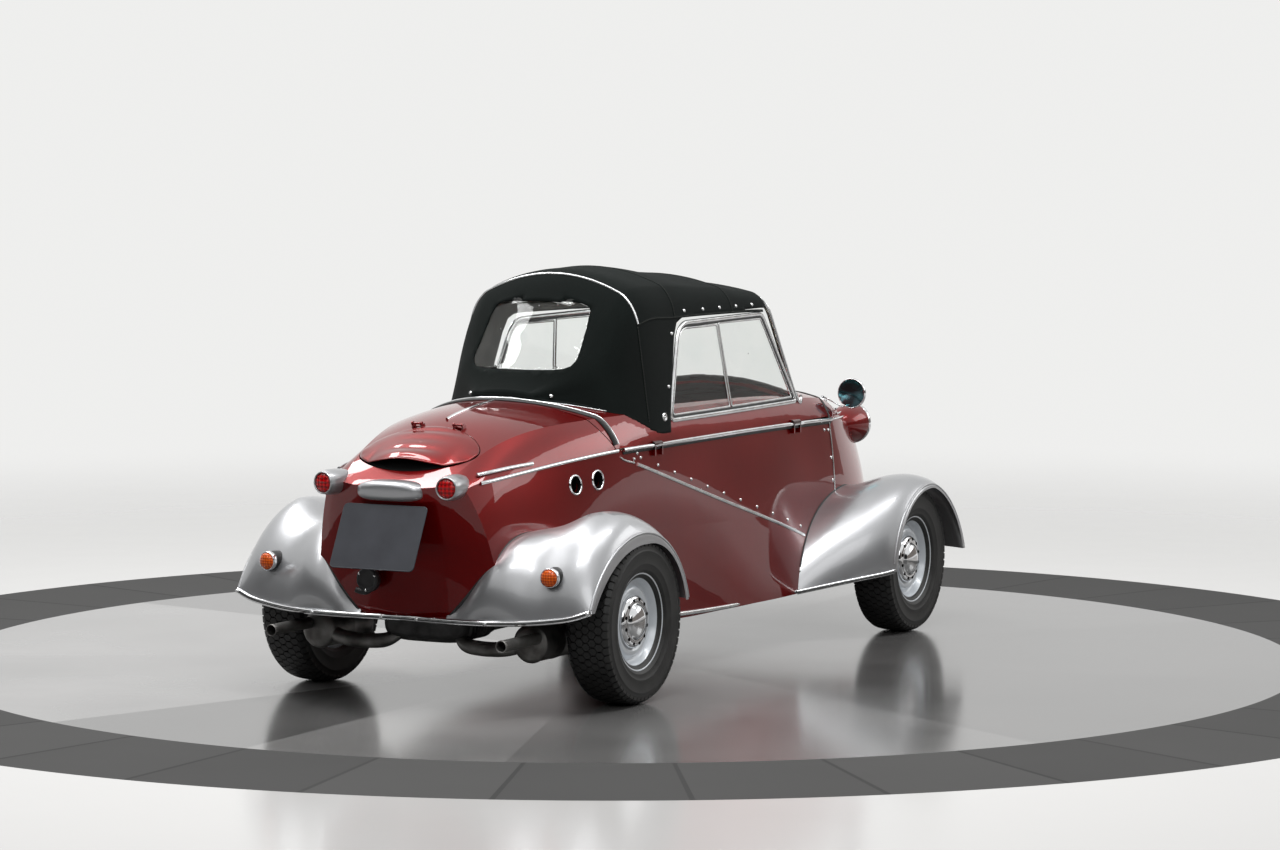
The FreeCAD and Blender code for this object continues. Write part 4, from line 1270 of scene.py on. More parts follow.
lampSettings = {
    "lens": 0.0255,
    "tilt": 7.0,  # degrees that a tail lamp turns outwards
    # every profile is (radius, distance ahead of the lens)
    "housing": [(0.0285, 0.002), (0.0315, -0.001), (0.034, 0.003), (0.0362, 0.014), (0.0375, 0.032),
                (0.0372, 0.054), (0.035, 0.08), (0.0305, 0.108), (0.0235, 0.135), (0.014, 0.155),
                (0.005, 0.164), (0.0, 0.165)],
    "rim": [(0.0282, 0.001), (0.0286, -0.003), (0.03, -0.0055), (0.0318, -0.005), (0.0334, -0.001),
            (0.034, 0.004)],
    "glass": [(0.0, -0.008), (0.011, -0.0074), (0.02, -0.0056), (0.0265, -0.0024), (0.029, 0.002)],
}
indicatorSettings = {
    "inset": (0.011, 0.027),  # from the node's rear and outer faces to the lamp's centre
    "tilt": 6,
    "glass": [(0.0, -0.015), (0.009, -0.0143), (0.017, -0.0118), (0.0225, -0.0072), (0.025, 0.002)],
    "bezel": [(0.0244, 0.001), (0.0248, -0.0025), (0.026, -0.0034), (0.0274, -0.0022), (0.0284, 0.002),
              (0.0286, 0.01)],
    "cup": [(0.0245, 0.002), (0.0282, 0.004), (0.027, 0.075), (0.0, 0.075)],
}
headlampSettings = {
    "bowl": [(0.0, -0.15), (0.012, -0.149), (0.03, -0.136), (0.048, -0.108), (0.06, -0.072),
             (0.0665, -0.036), (0.069, -0.012), (0.069, -0.004), (0.066, -0.002)],
    "rim": [(0.0605, 0.001), (0.0615, 0.0055), (0.0645, 0.0075), (0.068, 0.006), (0.07, 0.001),
            (0.07, -0.013), (0.068, -0.015)],
    "mirrorBowl": [(0.0, -0.045), (0.02, -0.041), (0.04, -0.028), (0.055, -0.01), (0.0615, 0.0)],
    "glass": [(0.0, 0.0185), (0.018, 0.0178), (0.036, 0.0152), (0.05, 0.0108), (0.058, 0.0062),
              (0.062, 0.001)],
}


def turnedOut(profile, centre, material, degrees):
    mesh, spot = spun(profile, centre, material), Matrix.Translation(centre)
    mesh.transform(spot @ Matrix.Rotation(math.radians(degrees), 4, "Z") @ spot.inverted())
    return mesh


def lampPair(name, slot, node, parts, x, across, z, tilt=0):  # the same turned parts on both sides
    meshes = [turnedOut(profile, Vector((x, side * across, z)), material, -tilt * side)
              for side in sides.values() for profile, material in parts]
    addPiece(name, joined(meshes), "body", slot, None, [node])


def buildTailLamps():
    settings = lampSettings
    low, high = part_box("tail_lenses")
    spot = (high.x, (high.y - low.y) / 2 - settings["lens"], (low.z + high.z) / 2, settings["tilt"])
    housing = [(settings["housing"], silverPaint), (settings["rim"], silverPaint)]
    lampPair("tail_lamp_housings", "silver_paint", "tail_lamps", housing, *spot)
    lampPair("tail_lamp_glasses", "red_lens", "tail_lenses", [(settings["glass"], redLens)], *spot)


def buildIndicators():
    settings = indicatorSettings
    low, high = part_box("indicators")
    inX, inY = settings["inset"]
    spot = (low.x + inX, (high.y - low.y) / 2 - inY, (low.z + high.z) / 2, settings["tilt"])
    parts = [(settings["glass"], amberLens), (settings["bezel"], chrome), (settings["cup"], sealRubber)]
    lampPair("indicator_set", "amber_lens", "indicators", parts, *spot)


plateSettings = {
    "bottom": (-1.504, 0, 0.42),
    "top": (-1.417, 0, 0.598),
    "back": 0.003,
    "thickness": 0.003,
    "eased": 0.0008,
    "round": 0.014,
    "steps": 6,
    "rimInset": 0.0015,
    "rimOut": 0.0028,
    "rimSize": (0.0022, 0.0014),
    "strutSpread": 0.07,
    "strutSize": 0.014,
}
plateLampSettings = {
    "depth": 0.052, "square": 0.62, "crown": 0.75, "shoulder": 0.42, "arch": 0.004, "fullHeight": 0.88,
    "rings": 16, "steps": 64, "screwSpot": (0.012, 0.004, 0.62), "screwSize": (0.005, 0.002)}


def roundedRow(half, height, corner, steps):  # (across, up) points of a rounded rectangle round the origin
    outline = []
    for turn, (across, up) in enumerate(((1, 1), (-1, 1), (-1, -1), (1, -1))):
        for step in range(steps + 1):
            angle = math.pi / 2 * (turn + step / steps)
            outline.append(((half - corner) * across + corner * math.cos(angle),
                            (height - corner) * up + corner * math.sin(angle)))
    return outline


def slabMesh(outline, place, thick, border):  # eased at its edge; place(across, up, out) gives a point
    points = []
    for grow, out in ((-border, 0.0), (0.0, border), (0.0, thick - border), (-border, thick)):
        for across, up in outline:
            length = math.hypot(across, up)
            points.append(place(across * (1 + grow / length), up * (1 + grow / length), out))
    count = len(outline)
    faces = [tuple(range(count)), tuple(reversed(range(3 * count, 4 * count)))]
    for start in range(0, 3 * count, count):
        above = start + count
        for number in range(count):
            following = (number + 1) % count
            faces.append((start + number, start + following, above + following, above + number))
    return meshOf(points, faces, False)


def buildPlate():
    settings = plateSettings
    low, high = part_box("number_plate")
    bottom, top = Vector(settings["bottom"]), Vector(settings["top"])
    slope = (top - bottom).normalized()
    out = Vector((-slope.z, 0, slope.x))
    middle = (top + bottom) / 2
    half, height = (high.y - low.y) / 2, (top - bottom).length / 2
    corner, inset = (settings["round"], settings["steps"]), settings["rimInset"]

    def place(across, up, depth):
        return middle + Vector((0, across, 0)) + slope * up - out * settings["back"] + out * depth

    plate = slabMesh(roundedRow(half, height, *corner), place, settings["thickness"], settings["eased"])
    outline = roundedRow(half - inset, height - inset, *corner)
    edge = [(place(across, up, settings["rimOut"]), out) for across, up in outline]
    rim = bead([edge + edge[:1]], *settings["rimSize"], plateGrey)
    struts = []
    for y in (-settings["strutSpread"], settings["strutSpread"]):
        start = middle + Vector((settings["back"], y, 0.0))
        end = onRear(y, middle.z)[0] + Vector((0.02, 0, 0))
        struts.append([(start + (end - start) * part, Vector((0, 0, 1))) for part in (0, 0.5, 1)])
    holder = bead(struts, settings["strutSize"], settings["strutSize"], darkSteel)
    blank = joined([painted(plate, plateGrey), rim, holder])
    addPiece("plate_blank", blank, "body", "plate_dark", None, ["number_plate"])


def buildPlateLamp():
    settings = plateLampSettings
    low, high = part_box("plate_lamp")
    middle = (low + high) / 2
    half, height = (high.y - low.y) / 2, (high.z - low.z) / 2
    rows = []
    for ring in range(settings["rings"] + 1):  # from the edge to the crown of the cover
        turn = math.pi / 2 * ring / settings["rings"]
        out = settings["depth"] * math.sin(turn) ** settings["crown"]
        shrink = math.cos(turn) ** settings["shoulder"]
        row = []
        for angle in turns(settings["steps"]):
            across, up = squared(angle, settings["square"])
            arch = settings["arch"] * (1 - across ** 2) * (up > 0)
            rise = (height * settings["fullHeight"] * up + arch) * shrink
            row.append(Vector((low.x + settings["depth"] - out, middle.y + half * across * shrink,
                               middle.z + rise)))
        rows.append(row)
    cover = painted(gridMesh(rows, True), silverPaint)
    back, across, drop = settings["screwSpot"]
    spot = Vector((low.x + back, middle.y + across, middle.z - height * drop))
    screw = studs([(spot, Vector((-1, 0, -0.6)).normalized())], *settings["screwSize"], darkSteel)
    addPiece("plate_lamp_cover", joined([cover, screw]), "body", "silver_paint", None, ["plate_lamp"])


hornSettings = {
    "face": [(0.0, 0.004), (0.012, 0.0035), (0.022, 0.005), (0.0265, 0.003), (0.03, 0.001),
             (0.0335, 0.0015), (0.0355, 0.005), (0.036, 0.01), (0.036, 0.021), (0.033, 0.026),
             (0.024, 0.034), (0.016, 0.038), (0.016, 0.085), (0.0, 0.085)],
    "screws": (0.6, 2.7, 4.8),  # angles round the face
    "screwRing": 0.03,
    "screwSize": (0.0035, 0.0022),
    "trumpet": [(-0.01, -0.02), (0.006, -0.034), (0.026, -0.036), (0.044, -0.032)],
    "trumpetDepth": 0.018,
}
ventSettings = {
    "spots": ((-0.884, 0.625), (-0.77, 0.631)),
    "reading": 0.036,
    "ring": [(0.0245, -0.004), (0.025, 0.0015), (0.0275, 0.0035), (0.03, 0.0025), (0.0312, -0.002)],
    "sleeve": [(0.0246, 0.001), (0.0246, -0.03), (0.0236, -0.03), (0.0236, 0.001)],
}


def buildHorn():
    settings = hornSettings
    low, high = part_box("horn")
    centre = Vector((low.x, (low.y + high.y) / 2, (low.z + high.z) / 2))
    behind, ring, depth = Vector((-1, 0, 0)), settings["screwRing"], settings["trumpetDepth"]
    screws = [(centre + Vector((0.001, ring * math.cos(turn), ring * math.sin(turn))), behind)
              for turn in settings["screws"]]
    trumpet = [(centre + Vector((depth, y, z)), behind) for y, z in smoothPath(settings["trumpet"], 12)]
    parts = [spun(settings["face"], centre, blackPlastic), studs(screws, *settings["screwSize"], brightTrim),
             bead([trumpet], depth, depth, blackPlastic)]
    addPiece("horn_set", joined(parts), "body", "horn_black", None, ["horn"])


def buildVents():
    settings = ventSettings
    rings, sleeves = [], []
    for side in sides.values():
        for x, z in settings["spots"]:
            above, below = (onSide(x, z + step, side) for step in (settings["reading"], -settings["reading"]))
            point, normal = (above[0] + below[0]) / 2, (above[1] + below[1]).normalized()
            rings.append(spun(settings["ring"], point, chrome, normal, 48))
            # the dark sleeve paints the shade inside each vent hole
            sleeves.append(spun(settings["sleeve"], point, paintedHoleShade, normal, 48))
    addPiece("side_vents", joined(rings + sleeves), "body", "chrome_trim")


def buildHeadlamps():
    settings = headlampSettings
    low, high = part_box("headlamps")
    radius = (high.z - low.z) / 2
    spot = (high.x, (high.y - low.y) / 2 - radius, low.z + radius)
    bowl = [(settings["bowl"], redPaint), (settings["rim"], chrome), (settings["mirrorBowl"], chrome)]
    lampPair("headlamp_bowls", "red_paint", "headlamps", bowl, *spot)
    lampPair("headlamp_glasses", "lamp_glass", "headlamp_lenses", [(settings["glass"], clearLens)], *spot)


mirrorSettings = {
    "radius": 0.051,
    "back": [(0.0475, -0.003), (0.049, -0.004), (0.051, -0.001), (0.0512, 0.006), (0.048, 0.013),
             (0.036, 0.0185), (0.018, 0.021), (0.0, 0.0215)],
    "glass": [(0.0, -0.0034), (0.02, -0.0033), (0.04, -0.0028), (0.0482, -0.0022)],
    "foot": (1.02, -0.235),
    "stem": ((0.012, 0.006, -0.01), (0.026, 0.045, -0.05)),  # from the glass's centre
    "stemEnds": (0.012, -0.004),  # heights over the foot
    "stemSize": 0.01,
    "baseSize": (0.017, 0.007),
}


def buildMirror():
    settings = mirrorSettings
    low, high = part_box("mirror")
    radius, size = settings["radius"], settings["stemSize"]
    centre = Vector((low.x + 0.003, low.y + radius, high.z - radius))
    foot = onTop(*settings["foot"])
    stops = [centre + Vector(step) for step in settings["stem"]]
    stops += [foot[0] + Vector((0, 0, z)) for z in settings["stemEnds"]]
    parts = [spun(settings["back"], centre, chrome), spun(settings["glass"], centre, mirrorGlass),
             bead([[(stop, Vector((0, -1, 0))) for stop in stops]], size, size, chrome),
             studs([foot], *settings["baseSize"], chrome)]
    addPiece("side_mirror", joined(parts), "body", "chrome_trim", None, ["mirror"])


for build in (buildTailLamps, buildIndicators, buildPlate, buildPlateLamp, buildHorn, buildVents,
              buildHeadlamps, buildMirror):
    build()
print("lamps and fittings made")


# Windows

windowSettings = {
    # side window corners (x, z) and how round each is: low rear, low front, high front, high rear
    "corners": [(-0.29, 0.735, 0.035), (0.652, 0.745, 0.022), (0.432, 1.075, 0.022),
                (-0.168, 1.069, 0.062)],
    "split": (0.107, 0.146),  # x of the line between the two panes, at its top and at its bottom
    "depth": 0.007,
    "frameSize": (0.015, 0.01),
    "rubberStep": 0.01,
    "rubberSize": (0.008, 0.007),
    "innerStep": 0.016,
    "innerSize": (0.007, 0.006),
    "innerSink": 0.002,
    "halfSplit": 0.007,
    "splitRound": 0.006,
    "seatLift": 0.004,
    "paneThickness": 0.0035,
    "eased": 0.0008,
    "sillBetween": (0.69, 0.9),  # heights between which the windows' foot is looked for
}
screenSettings = {
    "foot": (0.652, 0.79),
    "lean": -0.5426,  # how far ahead the screen goes for each metre up
    "inset": 0.012,
    "shares": (0.038, 0.962),
    "frameSize": (0.018, 0.012),
    "rubberSize": (0.024, 0.014),
    # how each foot of the frame runs down from its end: ahead, outwards, up
    "footSteps": [(0.002, 0.003, 0.01), (0.012, 0.005, -0.012), (0.03, 0.006, -0.022),
                  (0.044, 0.002, -0.012), (0.046, 0, 0)],
    "footSize": (0.014, 0.011),
    "thickness": 0.004,
    "eased": 0.0008,
    "scuttle": [(0.848, 0.346, 0.7), (0.862, 0.322, 0.742), (0.885, 0.296, 0.77), (0.94, 0.2, 0.794),
                (0.972, 0.1, 0.8), (0.98, 0.0, 0.802)],
    "scuttleSize": (0.01, 0.006),
}


def roundedCorners(corners, steps=9):  # a closed line through corners given as (across, up, roundness)
    line = []
    for number, (x, z, size) in enumerate(corners):
        corner = Vector((x, z))
        before = Vector(corners[number - 1][:2])
        after = Vector(corners[(number + 1) % len(corners)][:2])
        start = corner + (before - corner).normalized() * size
        end = corner + (after - corner).normalized() * size
        for step in range(steps + 1):
            part = step / steps
            line.append(start * (1 - part) ** 2 + corner * (2 * part * (1 - part)) + end * part ** 2)
    return line


def shrunken(corners, step):  # the same corners moved in towards the middle of the shape
    inner = []
    for number, (x, z, size) in enumerate(corners):
        corner = Vector((x, z))
        others = (corners[number - 1], corners[(number + 1) % len(corners)])
        first, second = ((Vector(other[:2]) - corner).normalized() for other in others)
        spread = abs(first.x * second.y - first.y * second.x)
        inner.append((*(corner + (first + second) * (step / spread)), max(size - step, 0.006)))
    return inner


def onWindow(x, z, side, depth):
    share = shareAt(x, side, z)
    normal = hoodNormal(x, share)
    return hoodPoint(x, share) - normal * depth, normal


def sillLift(x, side, depth):  # the height at which the window's surface leaves the body
    low, high = windowSettings["sillBetween"]
    for _ in range(16):
        middle = (low + high) / 2
        point = onWindow(x, middle, side, depth)[0]
        hidden = onTop(x, point.y)[0].z > point.z
        low, high = (middle, high) if hidden else (low, middle)
    return high


def seated(corners, side, depth, lift):  # low corners raised to stand on the body
    top = windowSettings["sillBetween"][1]
    return [(x, max(z, sillLift(x, side, depth) + lift) if z < top else z, size) for x, z, size in corners]


def windowLine(corners, side, depth):
    line = []
    outline = roundedCorners(corners)
    for start, end in zip(outline, outline[1:] + outline[:1]):
        pieces = max(1, int((end - start).length / 0.03))
        for number in range(pieces):
            spot = start + (end - start) * (number / pieces)
            line.append(onWindow(spot.x, spot.y, side, depth))
    return line + line[:1]


def paneMesh(corners, side, depth, thick):
    outline = roundedCorners(corners)
    middle = sum(outline, Vector((0, 0))) / len(outline)

    def place(across, up, out):
        point, normal = onWindow(middle.x + across, middle.y + up, side, depth + thick)
        return point + normal * out

    return slabMesh([tuple(spot - middle) for spot in outline], place, thick, windowSettings["eased"])


def buildSideWindows():
    settings = windowSettings
    depth, corner = settings["depth"], settings["splitRound"]
    sunk = depth + settings["innerSink"]
    topX, lowX = settings["split"]
    bright, rubber, glass = [], [], []
    for side in sides.values():
        outer = seated(settings["corners"], side, depth, settings["seatLift"])
        lowRear, lowFront, highFront, highRear = shrunken(outer, settings["innerStep"])
        lowZ = between(lowRear[1], lowFront[1], (lowX - outer[0][0]) / (outer[1][0] - outer[0][0]))
        half = settings["halfSplit"]
        rearPane = [lowRear, (lowX - half, lowZ, corner), (topX - half, highRear[1], corner), highRear]
        frontPane = [(lowX + half, lowZ, corner), lowFront, highFront, (topX + half, highFront[1], corner)]
        border = windowLine(outer, side, depth)
        bright.append(bead([border], *settings["frameSize"], brightTrim, sides=16))
        seal = windowLine(shrunken(outer, settings["rubberStep"]), side, sunk)
        rubber.append(bead([seal], *settings["rubberSize"], sealRubber))
        for pane in (rearPane, frontPane):
            bright.append(bead([windowLine(pane, side, sunk)], *settings["innerSize"], brightTrim, sides=8))
            glass.append(paneMesh(shrunken(pane, 0.001), side, sunk, settings["paneThickness"]))
    addPiece("side_frames", joined(bright + rubber), "canopy", "chrome_trim", None, ["window_frame"])
    addPiece("side_panes", joined(glass), "canopy", "window_glass", windowGlass, ["side_glass"])


def onScreenPlane(z):  # how far ahead the screen is at a height
    footX, footZ = screenSettings["foot"]
    return footX + screenSettings["lean"] * (z - footZ)


def screenSpot(share, inset, lift):  # a point of the windscreen's edge, at a share of the arch
    x = screenSettings["foot"][0]
    for _ in range(8):
        point = hoodPoint(x, share) - hoodNormal(x, share) * inset
        x = onScreenPlane(point.z)
    normal = Vector((1, 0, -screenSettings["lean"])).normalized()
    return Vector((x, point.y, point.z)) + normal * lift, normal


def screenSill(start, end, normal):  # the screen's lower edge on the body, between its two feet
    sill = []
    for number in range(25):
        y = between(start.y, end.y, number / 24)
        x = screenSettings["foot"][0]
        for _ in range(6):
            z = onTop(x, y)[0].z
            x = onScreenPlane(z)
        sill.append((Vector((x, y, z + 0.004)) + normal * 0.003, normal))
    return sill


def buildScreen():
    settings = screenSettings
    inset, thick = settings["inset"], settings["thickness"]
    shares = [between(*settings["shares"], number / 60) for number in range(61)]
    loop = [screenSpot(share, inset, 0.003) for share in shares]
    normal = loop[0][1]
    low = screenSill(loop[-1][0], loop[0][0], normal)
    feet = []
    for end, side in ((loop[0][0], -1), (loop[-1][0], 1)):
        stops = [end + Vector((x, y * side, z)) for x, y, z in settings["footSteps"]]
        feet.append([(Vector(spot), Vector((0, side, 0.3)).normalized()) for spot in smoothPath(stops, 14)])
    parts = [bead([loop], *settings["frameSize"], brightTrim, sides=16),
             bead([moved(low, *(normal * -0.001))], *settings["rubberSize"], sealRubber, sides=16),
             bead(feet, *settings["footSize"], brightTrim)]
    addPiece("screen_frame", joined(parts), "canopy", "chrome_trim")
    edge = [screenSpot(share, inset + 0.006, -0.002)[0] for share in shares]
    edge += [point for point, _ in low[1:-1]]
    middle = sum(edge, Vector()) / len(edge)
    up = Vector((settings["lean"], 0, 1)).normalized()
    outline = [((point - middle).y, (point - middle).dot(up)) for point in edge]

    def place(across, rise, out):
        return middle + Vector((0, across, 0)) + up * rise + normal * (out - thick)

    pane = slabMesh(outline, place, thick, settings["eased"])
    addPiece("screen_pane", pane, "canopy", "window_glass", windowGlass, ["windscreen"])


def onBody(x, y, z):
    point, normal, _, _ = bodySkin.find_nearest((x, y, z))
    if normal.dot(Vector((0, y, z - 0.45))) < 0:
        normal = -normal
    return point, normal


def buildScuttle():
    half = screenSettings["scuttle"]
    stops = [(x, -y, z) for x, y, z in half] + half[-2::-1]
    path = eased([onBody(*spot) for spot in smoothPath(stops, 90)], 4)
    addBead("scuttle_seal", [path], *screenSettings["scuttleSize"], "canopy", "bar_black", sealRubber, 0.001)


buildSideWindows()
buildScreen()
buildScuttle()
print("windows made")


# Fender lips, joints and bottom strips

edgeSettings = {
    # where a wheel's centre is (x, z), how far out the lip is read, and between which angles
    "fenders": {"front": ((0.945, 0.241), 0.651, (4, 178)), "rear": ((-0.945, 0.241), 0.5935, (10, 168))},
    "lipSize": (0.009, 0.0072),
    # the strip under the tail and the rear fenders: x, y, z of one half
    "rearStrip": [(-1.34, 0.0, 0.264), (-1.351, 0.1, 0.264), (-1.355, 0.2, 0.264), (-1.353, 0.29, 0.265),
                  (-1.338, 0.4, 0.27), (-1.318, 0.49, 0.279), (-1.306, 0.545, 0.289),
                  (-1.292, 0.595, 0.306)],
    "rearSize": (0.017, 0.012),
    "frontStrip": [(0.452, 0.412, 0.17), (0.53, 0.48, 0.186), (0.61, 0.57, 0.207), (0.655, 0.62, 0.218),
                   (0.69, 0.65, 0.227)],
    "frontSize": (0.015, 0.011),
    "sillStrip": [(-0.585, 0.348, 0.196), (-0.3, 0.366, 0.18), (0.0, 0.383, 0.171), (0.3, 0.398, 0.171),
                  (0.46, 0.406, 0.171)],
    "sillSize": (0.014, 0.009),
    "bolts": [(-1.301, 0.59, 0.304), (-1.359, 0.29, 0.265), (-1.352, 0.06, 0.264)],
    "boltSize": (0.0065, 0.004),
    "noseStrips": [((0.866, 0.705), (1.06, 0.701)), ((0.93, 0.718), (1.062, 0.714)),
                   ((0.962, 0.731), (1.06, 0.727))],
    "noseSize": (0.0065, 0.006),
    "darkShares": (0.42, 1.22),  # the black middle's width and height, of the bright strip's
    "raysFrom": 0.9,  # how far from a wheel's centre the rays to its fender start
    "raysReach": 0.75,
    "touching": 0.0006,
}


def archPath(skin, centre, y, angles, count=70):  # points of a fender's skin round its wheel
    path = []
    for number in range(count):
        angle = math.radians(between(*angles, number / (count - 1)))
        outward = Vector((math.cos(angle), 0, math.sin(angle)))
        start = Vector((centre[0], y, centre[1])) + outward * edgeSettings["raysFrom"]
        hit = cast(skin, start, -outward)
        if hit and (hit[0] - start).length < edgeSettings["raysReach"]:
            path.append(hit)
    return path


def jointPath(name, centre):  # where a fender's outer skin meets the body
    best = {}
    for vertex in nodes[name].data.vertices:
        point = vertex.co
        spot, normal, _, distance = bodySkin.find_nearest(point)
        if distance > edgeSettings["touching"]:
            continue
        offset = Vector((point.x - centre[0], point.z - centre[1]))
        place = round(math.degrees(math.atan2(offset.y, offset.x)) / 3)  # one point for every 3 degrees
        if place not in best or offset.length > best[place][2]:
            best[place] = (spot.copy(), normal.copy(), offset.length)
    path = []
    for place in sorted(best):
        point, normal, _ = best[place]
        if normal.dot(Vector((0, point.y, 0.1))) < 0:
            normal = -normal
        path.append((point, normal))
    return path


def mirroredPath(stops, count, lie):  # a path across the car from one half's points
    half = [Vector(stop) for stop in smoothPath(stops, count)]
    right = [Vector((point.x, -point.y, point.z)) for point in reversed(half[1:])]
    return [(point, Vector(lie).normalized()) for point in right + half]


def edgeStrip(paths, width, height):  # bright, black and bright again
    narrower, higher = edgeSettings["darkShares"]
    bright = bead(paths, width, height, chrome, sides=16)
    dark = bead(paths, width * narrower, height * higher, sealRubber)
    return joined([bright, dark])


def buildFenderTrims():
    settings = edgeSettings
    for end, (centre, lipY, angles) in settings["fenders"].items():
        lips, joints = [], []
        for word, side in sides.items():
            name = "fender_" + end + "_" + word
            lip = eased(archPath(skinOf(name), centre, side * lipY, angles), 2)
            lips.append(bead([lip], *settings["lipSize"], silverPaint))
            joints.append(eased(jointPath(name, centre), 4))
        addPiece(end + "_fender_lips", joined(lips), "body", "silver_paint")
        addBead(end + "_fender_piping", joints, *settings["lipSize"], "body", "bar_black", sealRubber)


def sideLines(stops, count, lie):  # the same line on both sides
    lines = []
    for side in sides.values():
        normal = Vector((lie[0], side * lie[1], lie[2])).normalized()
        lines.append([(Vector((x, side * y, z)), normal) for x, y, z in smoothPath(stops, count)])
    return lines


def buildBottomStrips():
    settings = edgeSettings
    rear = mirroredPath(settings["rearStrip"], 50, (-1, 0, -0.15))
    addPiece("rear_edge_strip", edgeStrip([rear], *settings["rearSize"]), "body", "chrome_trim")
    front = sideLines(settings["frontStrip"], 24, (-0.75, 0.6, -0.2))
    addPiece("front_edge_strips", edgeStrip(front, *settings["frontSize"]), "body", "chrome_trim")
    sills = sideLines(settings["sillStrip"], 40, (0, 1, -0.1))
    addBead("sill_strips", sills, *settings["sillSize"], "body", "chrome_trim", brightTrim, sides=16)
    behind = Vector((-1, 0, -0.15)).normalized()
    bolts = [(Vector((x, side * y, z)), behind) for x, y, z in settings["bolts"] for side in sides.values()]
    addPiece("strip_bolts", studs(bolts, *settings["boltSize"], brightTrim), "body", "chrome_trim")


def buildNoseStrips():
    strips = [sidePath(ends, side, 16, 2) for side in sides.values() for ends in edgeSettings["noseStrips"]]
    addBead("nose_strips", strips, *edgeSettings["noseSize"], "body", "chrome_trim", chrome, 0.001)


hemSettings = {
    "middleX": -0.34,
    "turns": (-100, 200),  # first angle and span behind the car's middle
    "steps": (60, 260, 0.002),  # first and last step outwards, and a step's length
    "size": (0.016, 0.008),
    "lift": 0.004,
    "lineSize": 0.005,
    "lineOut": 0.012,
    "snapShares": (0.1, 0.24, 0.4, 0.6, 0.76, 0.9),
    "snapSpot": (0.006, 0.02),  # inwards and up from the hem
}


def hemPath(count=80):  # where the soft top's rear edge lies on the body
    settings = hemSettings
    hoodSkin = skinOf("hood")
    first, span = settings["turns"]
    start, end, pitch = settings["steps"]
    path = []
    for number in range(count):
        turn = math.radians(first + span * number / (count - 1))
        found = None
        for step in range(start, end):
            x, y = settings["middleX"] - math.cos(turn) * step * pitch, math.sin(turn) * step * pitch
            over, under = (cast(skin, (x, y, farOut), (0, 0, -1)) for skin in (hoodSkin, bodySkin))
            if over and under and over[0].z > under[0].z:
                found = under
        if found:
            path.append(found)
    return eased(path, 4)


def outwardAt(point):
    return Vector((point.x - hemSettings["middleX"], point.y, 0)).normalized()


def buildHem():
    settings = hemSettings
    path = hemPath()
    binding = bead([path], *settings["size"], canvas, settings["lift"])
    out, size = settings["lineOut"], settings["lineSize"]
    outer, snaps = [], []
    for point, normal in path:
        spot = point + outwardAt(point) * out
        outer.append((onTop(spot.x, spot.y)[0] + normal * 0.002, normal))
    line = bead([eased(outer, 3)], size, size, brightTrim)
    inward, rise = settings["snapSpot"]
    for share in settings["snapShares"]:
        point = path[int(share * (len(path) - 1))][0]
        outward = outwardAt(point)
        spot = point - outward * inward + Vector((0, 0, rise))
        snaps.append((spot, (outward + Vector((0, 0, 0.4))).normalized()))
    snapped = studs(snaps, *hoodSettings["snapSize"], brightTrim)
    addPiece("hood_hem", joined([binding, line, snapped]), "canopy", "black_canvas")


buildFenderTrims()
buildBottomStrips()
buildNoseStrips()
buildHem()
print("edges made")


# Tail lid

lidSettings = {
    "middle": (-1.2315, 0.0),
    "half": (0.1012, 0.1927),
    "rise": 0.0035,
    "mouthHalf": 0.128,
    "mouthHeight": 0.035,
    "mouthStart": 0.3,  # how far ahead the crown starts to lift, as a share of the lid's half length
    "thickness": 0.0022,
    "panThickness": 0.0012,
    "panDrop": 0.004,
    "panShare": 0.985,
    "rings": 26,
    "steps": 112,
    "readFrom": (-1.345, -1.115),
    "curves": 32,
    "readings": (0.11, 0.15, 0.185),  # distances from the middle at which the tail is read
}


def lidLevels():  # the tail's own surface across the lid, as smooth curves one behind another
    skin = skinOf("tail", "lid")
    settings = lidSettings
    rear, front = settings["readFrom"]
    rows = []
    for number in range(settings["curves"]):
        x = rear + (front - rear) * number / (settings["curves"] - 1)
        near, middle, far = (onTop(x, y, skin)[0].z for y in settings["readings"])
        a, b, c = (y * y for y in settings["readings"])
        first, second = (middle - near) / (b - a), (far - middle) / (c - b)
        bend = (second - first) / (c - a)
        rows.append((near - first * a + bend * a * b, first - bend * (a + b), bend))
    for _ in range(3):
        threes = zip(rows, rows[1:], rows[2:])
        rows[1:-1] = [tuple((p + 2 * q + r) / 4 for p, q, r in zip(*three)) for three in threes]
    return rows


def lidLevel(levels, x, y):
    rear, front = lidSettings["readFrom"]
    level, slope, bend = smoothCurve(levels, clamped((x - rear) / (front - rear)))
    return level + slope * y * y + bend * y ** 4


def lidRows(levels, lowered, crowned, outer=1.0):
    settings = lidSettings
    rows = []
    for ring in range(settings["rings"] + 1):
        share = max(outer * ring / settings["rings"], 0.002)
        row = []
        for angle in turns(settings["steps"]):
            x = settings["middle"][0] + settings["half"][0] * share * math.cos(angle)
            y = settings["half"][1] * share * math.sin(angle)
            z = lidLevel(levels, x, y) - lowered
            if crowned:
                edge = math.sqrt(max(0.0, 1 - (y / settings["half"][1]) ** 2))
                span = 2 * settings["mouthStart"] + 0.9 * edge
                behind = clamped(1 - (edge + share * math.cos(angle)) / span)
                across = max(0.0, 1 - (y / settings["mouthHalf"]) ** 2) ** 1.15
                z += settings["rise"] * (1 - share ** 4) + settings["mouthHeight"] * across * behind ** 2
            row.append(Vector((x, y, z)))
        rows.append(row)
    return rows


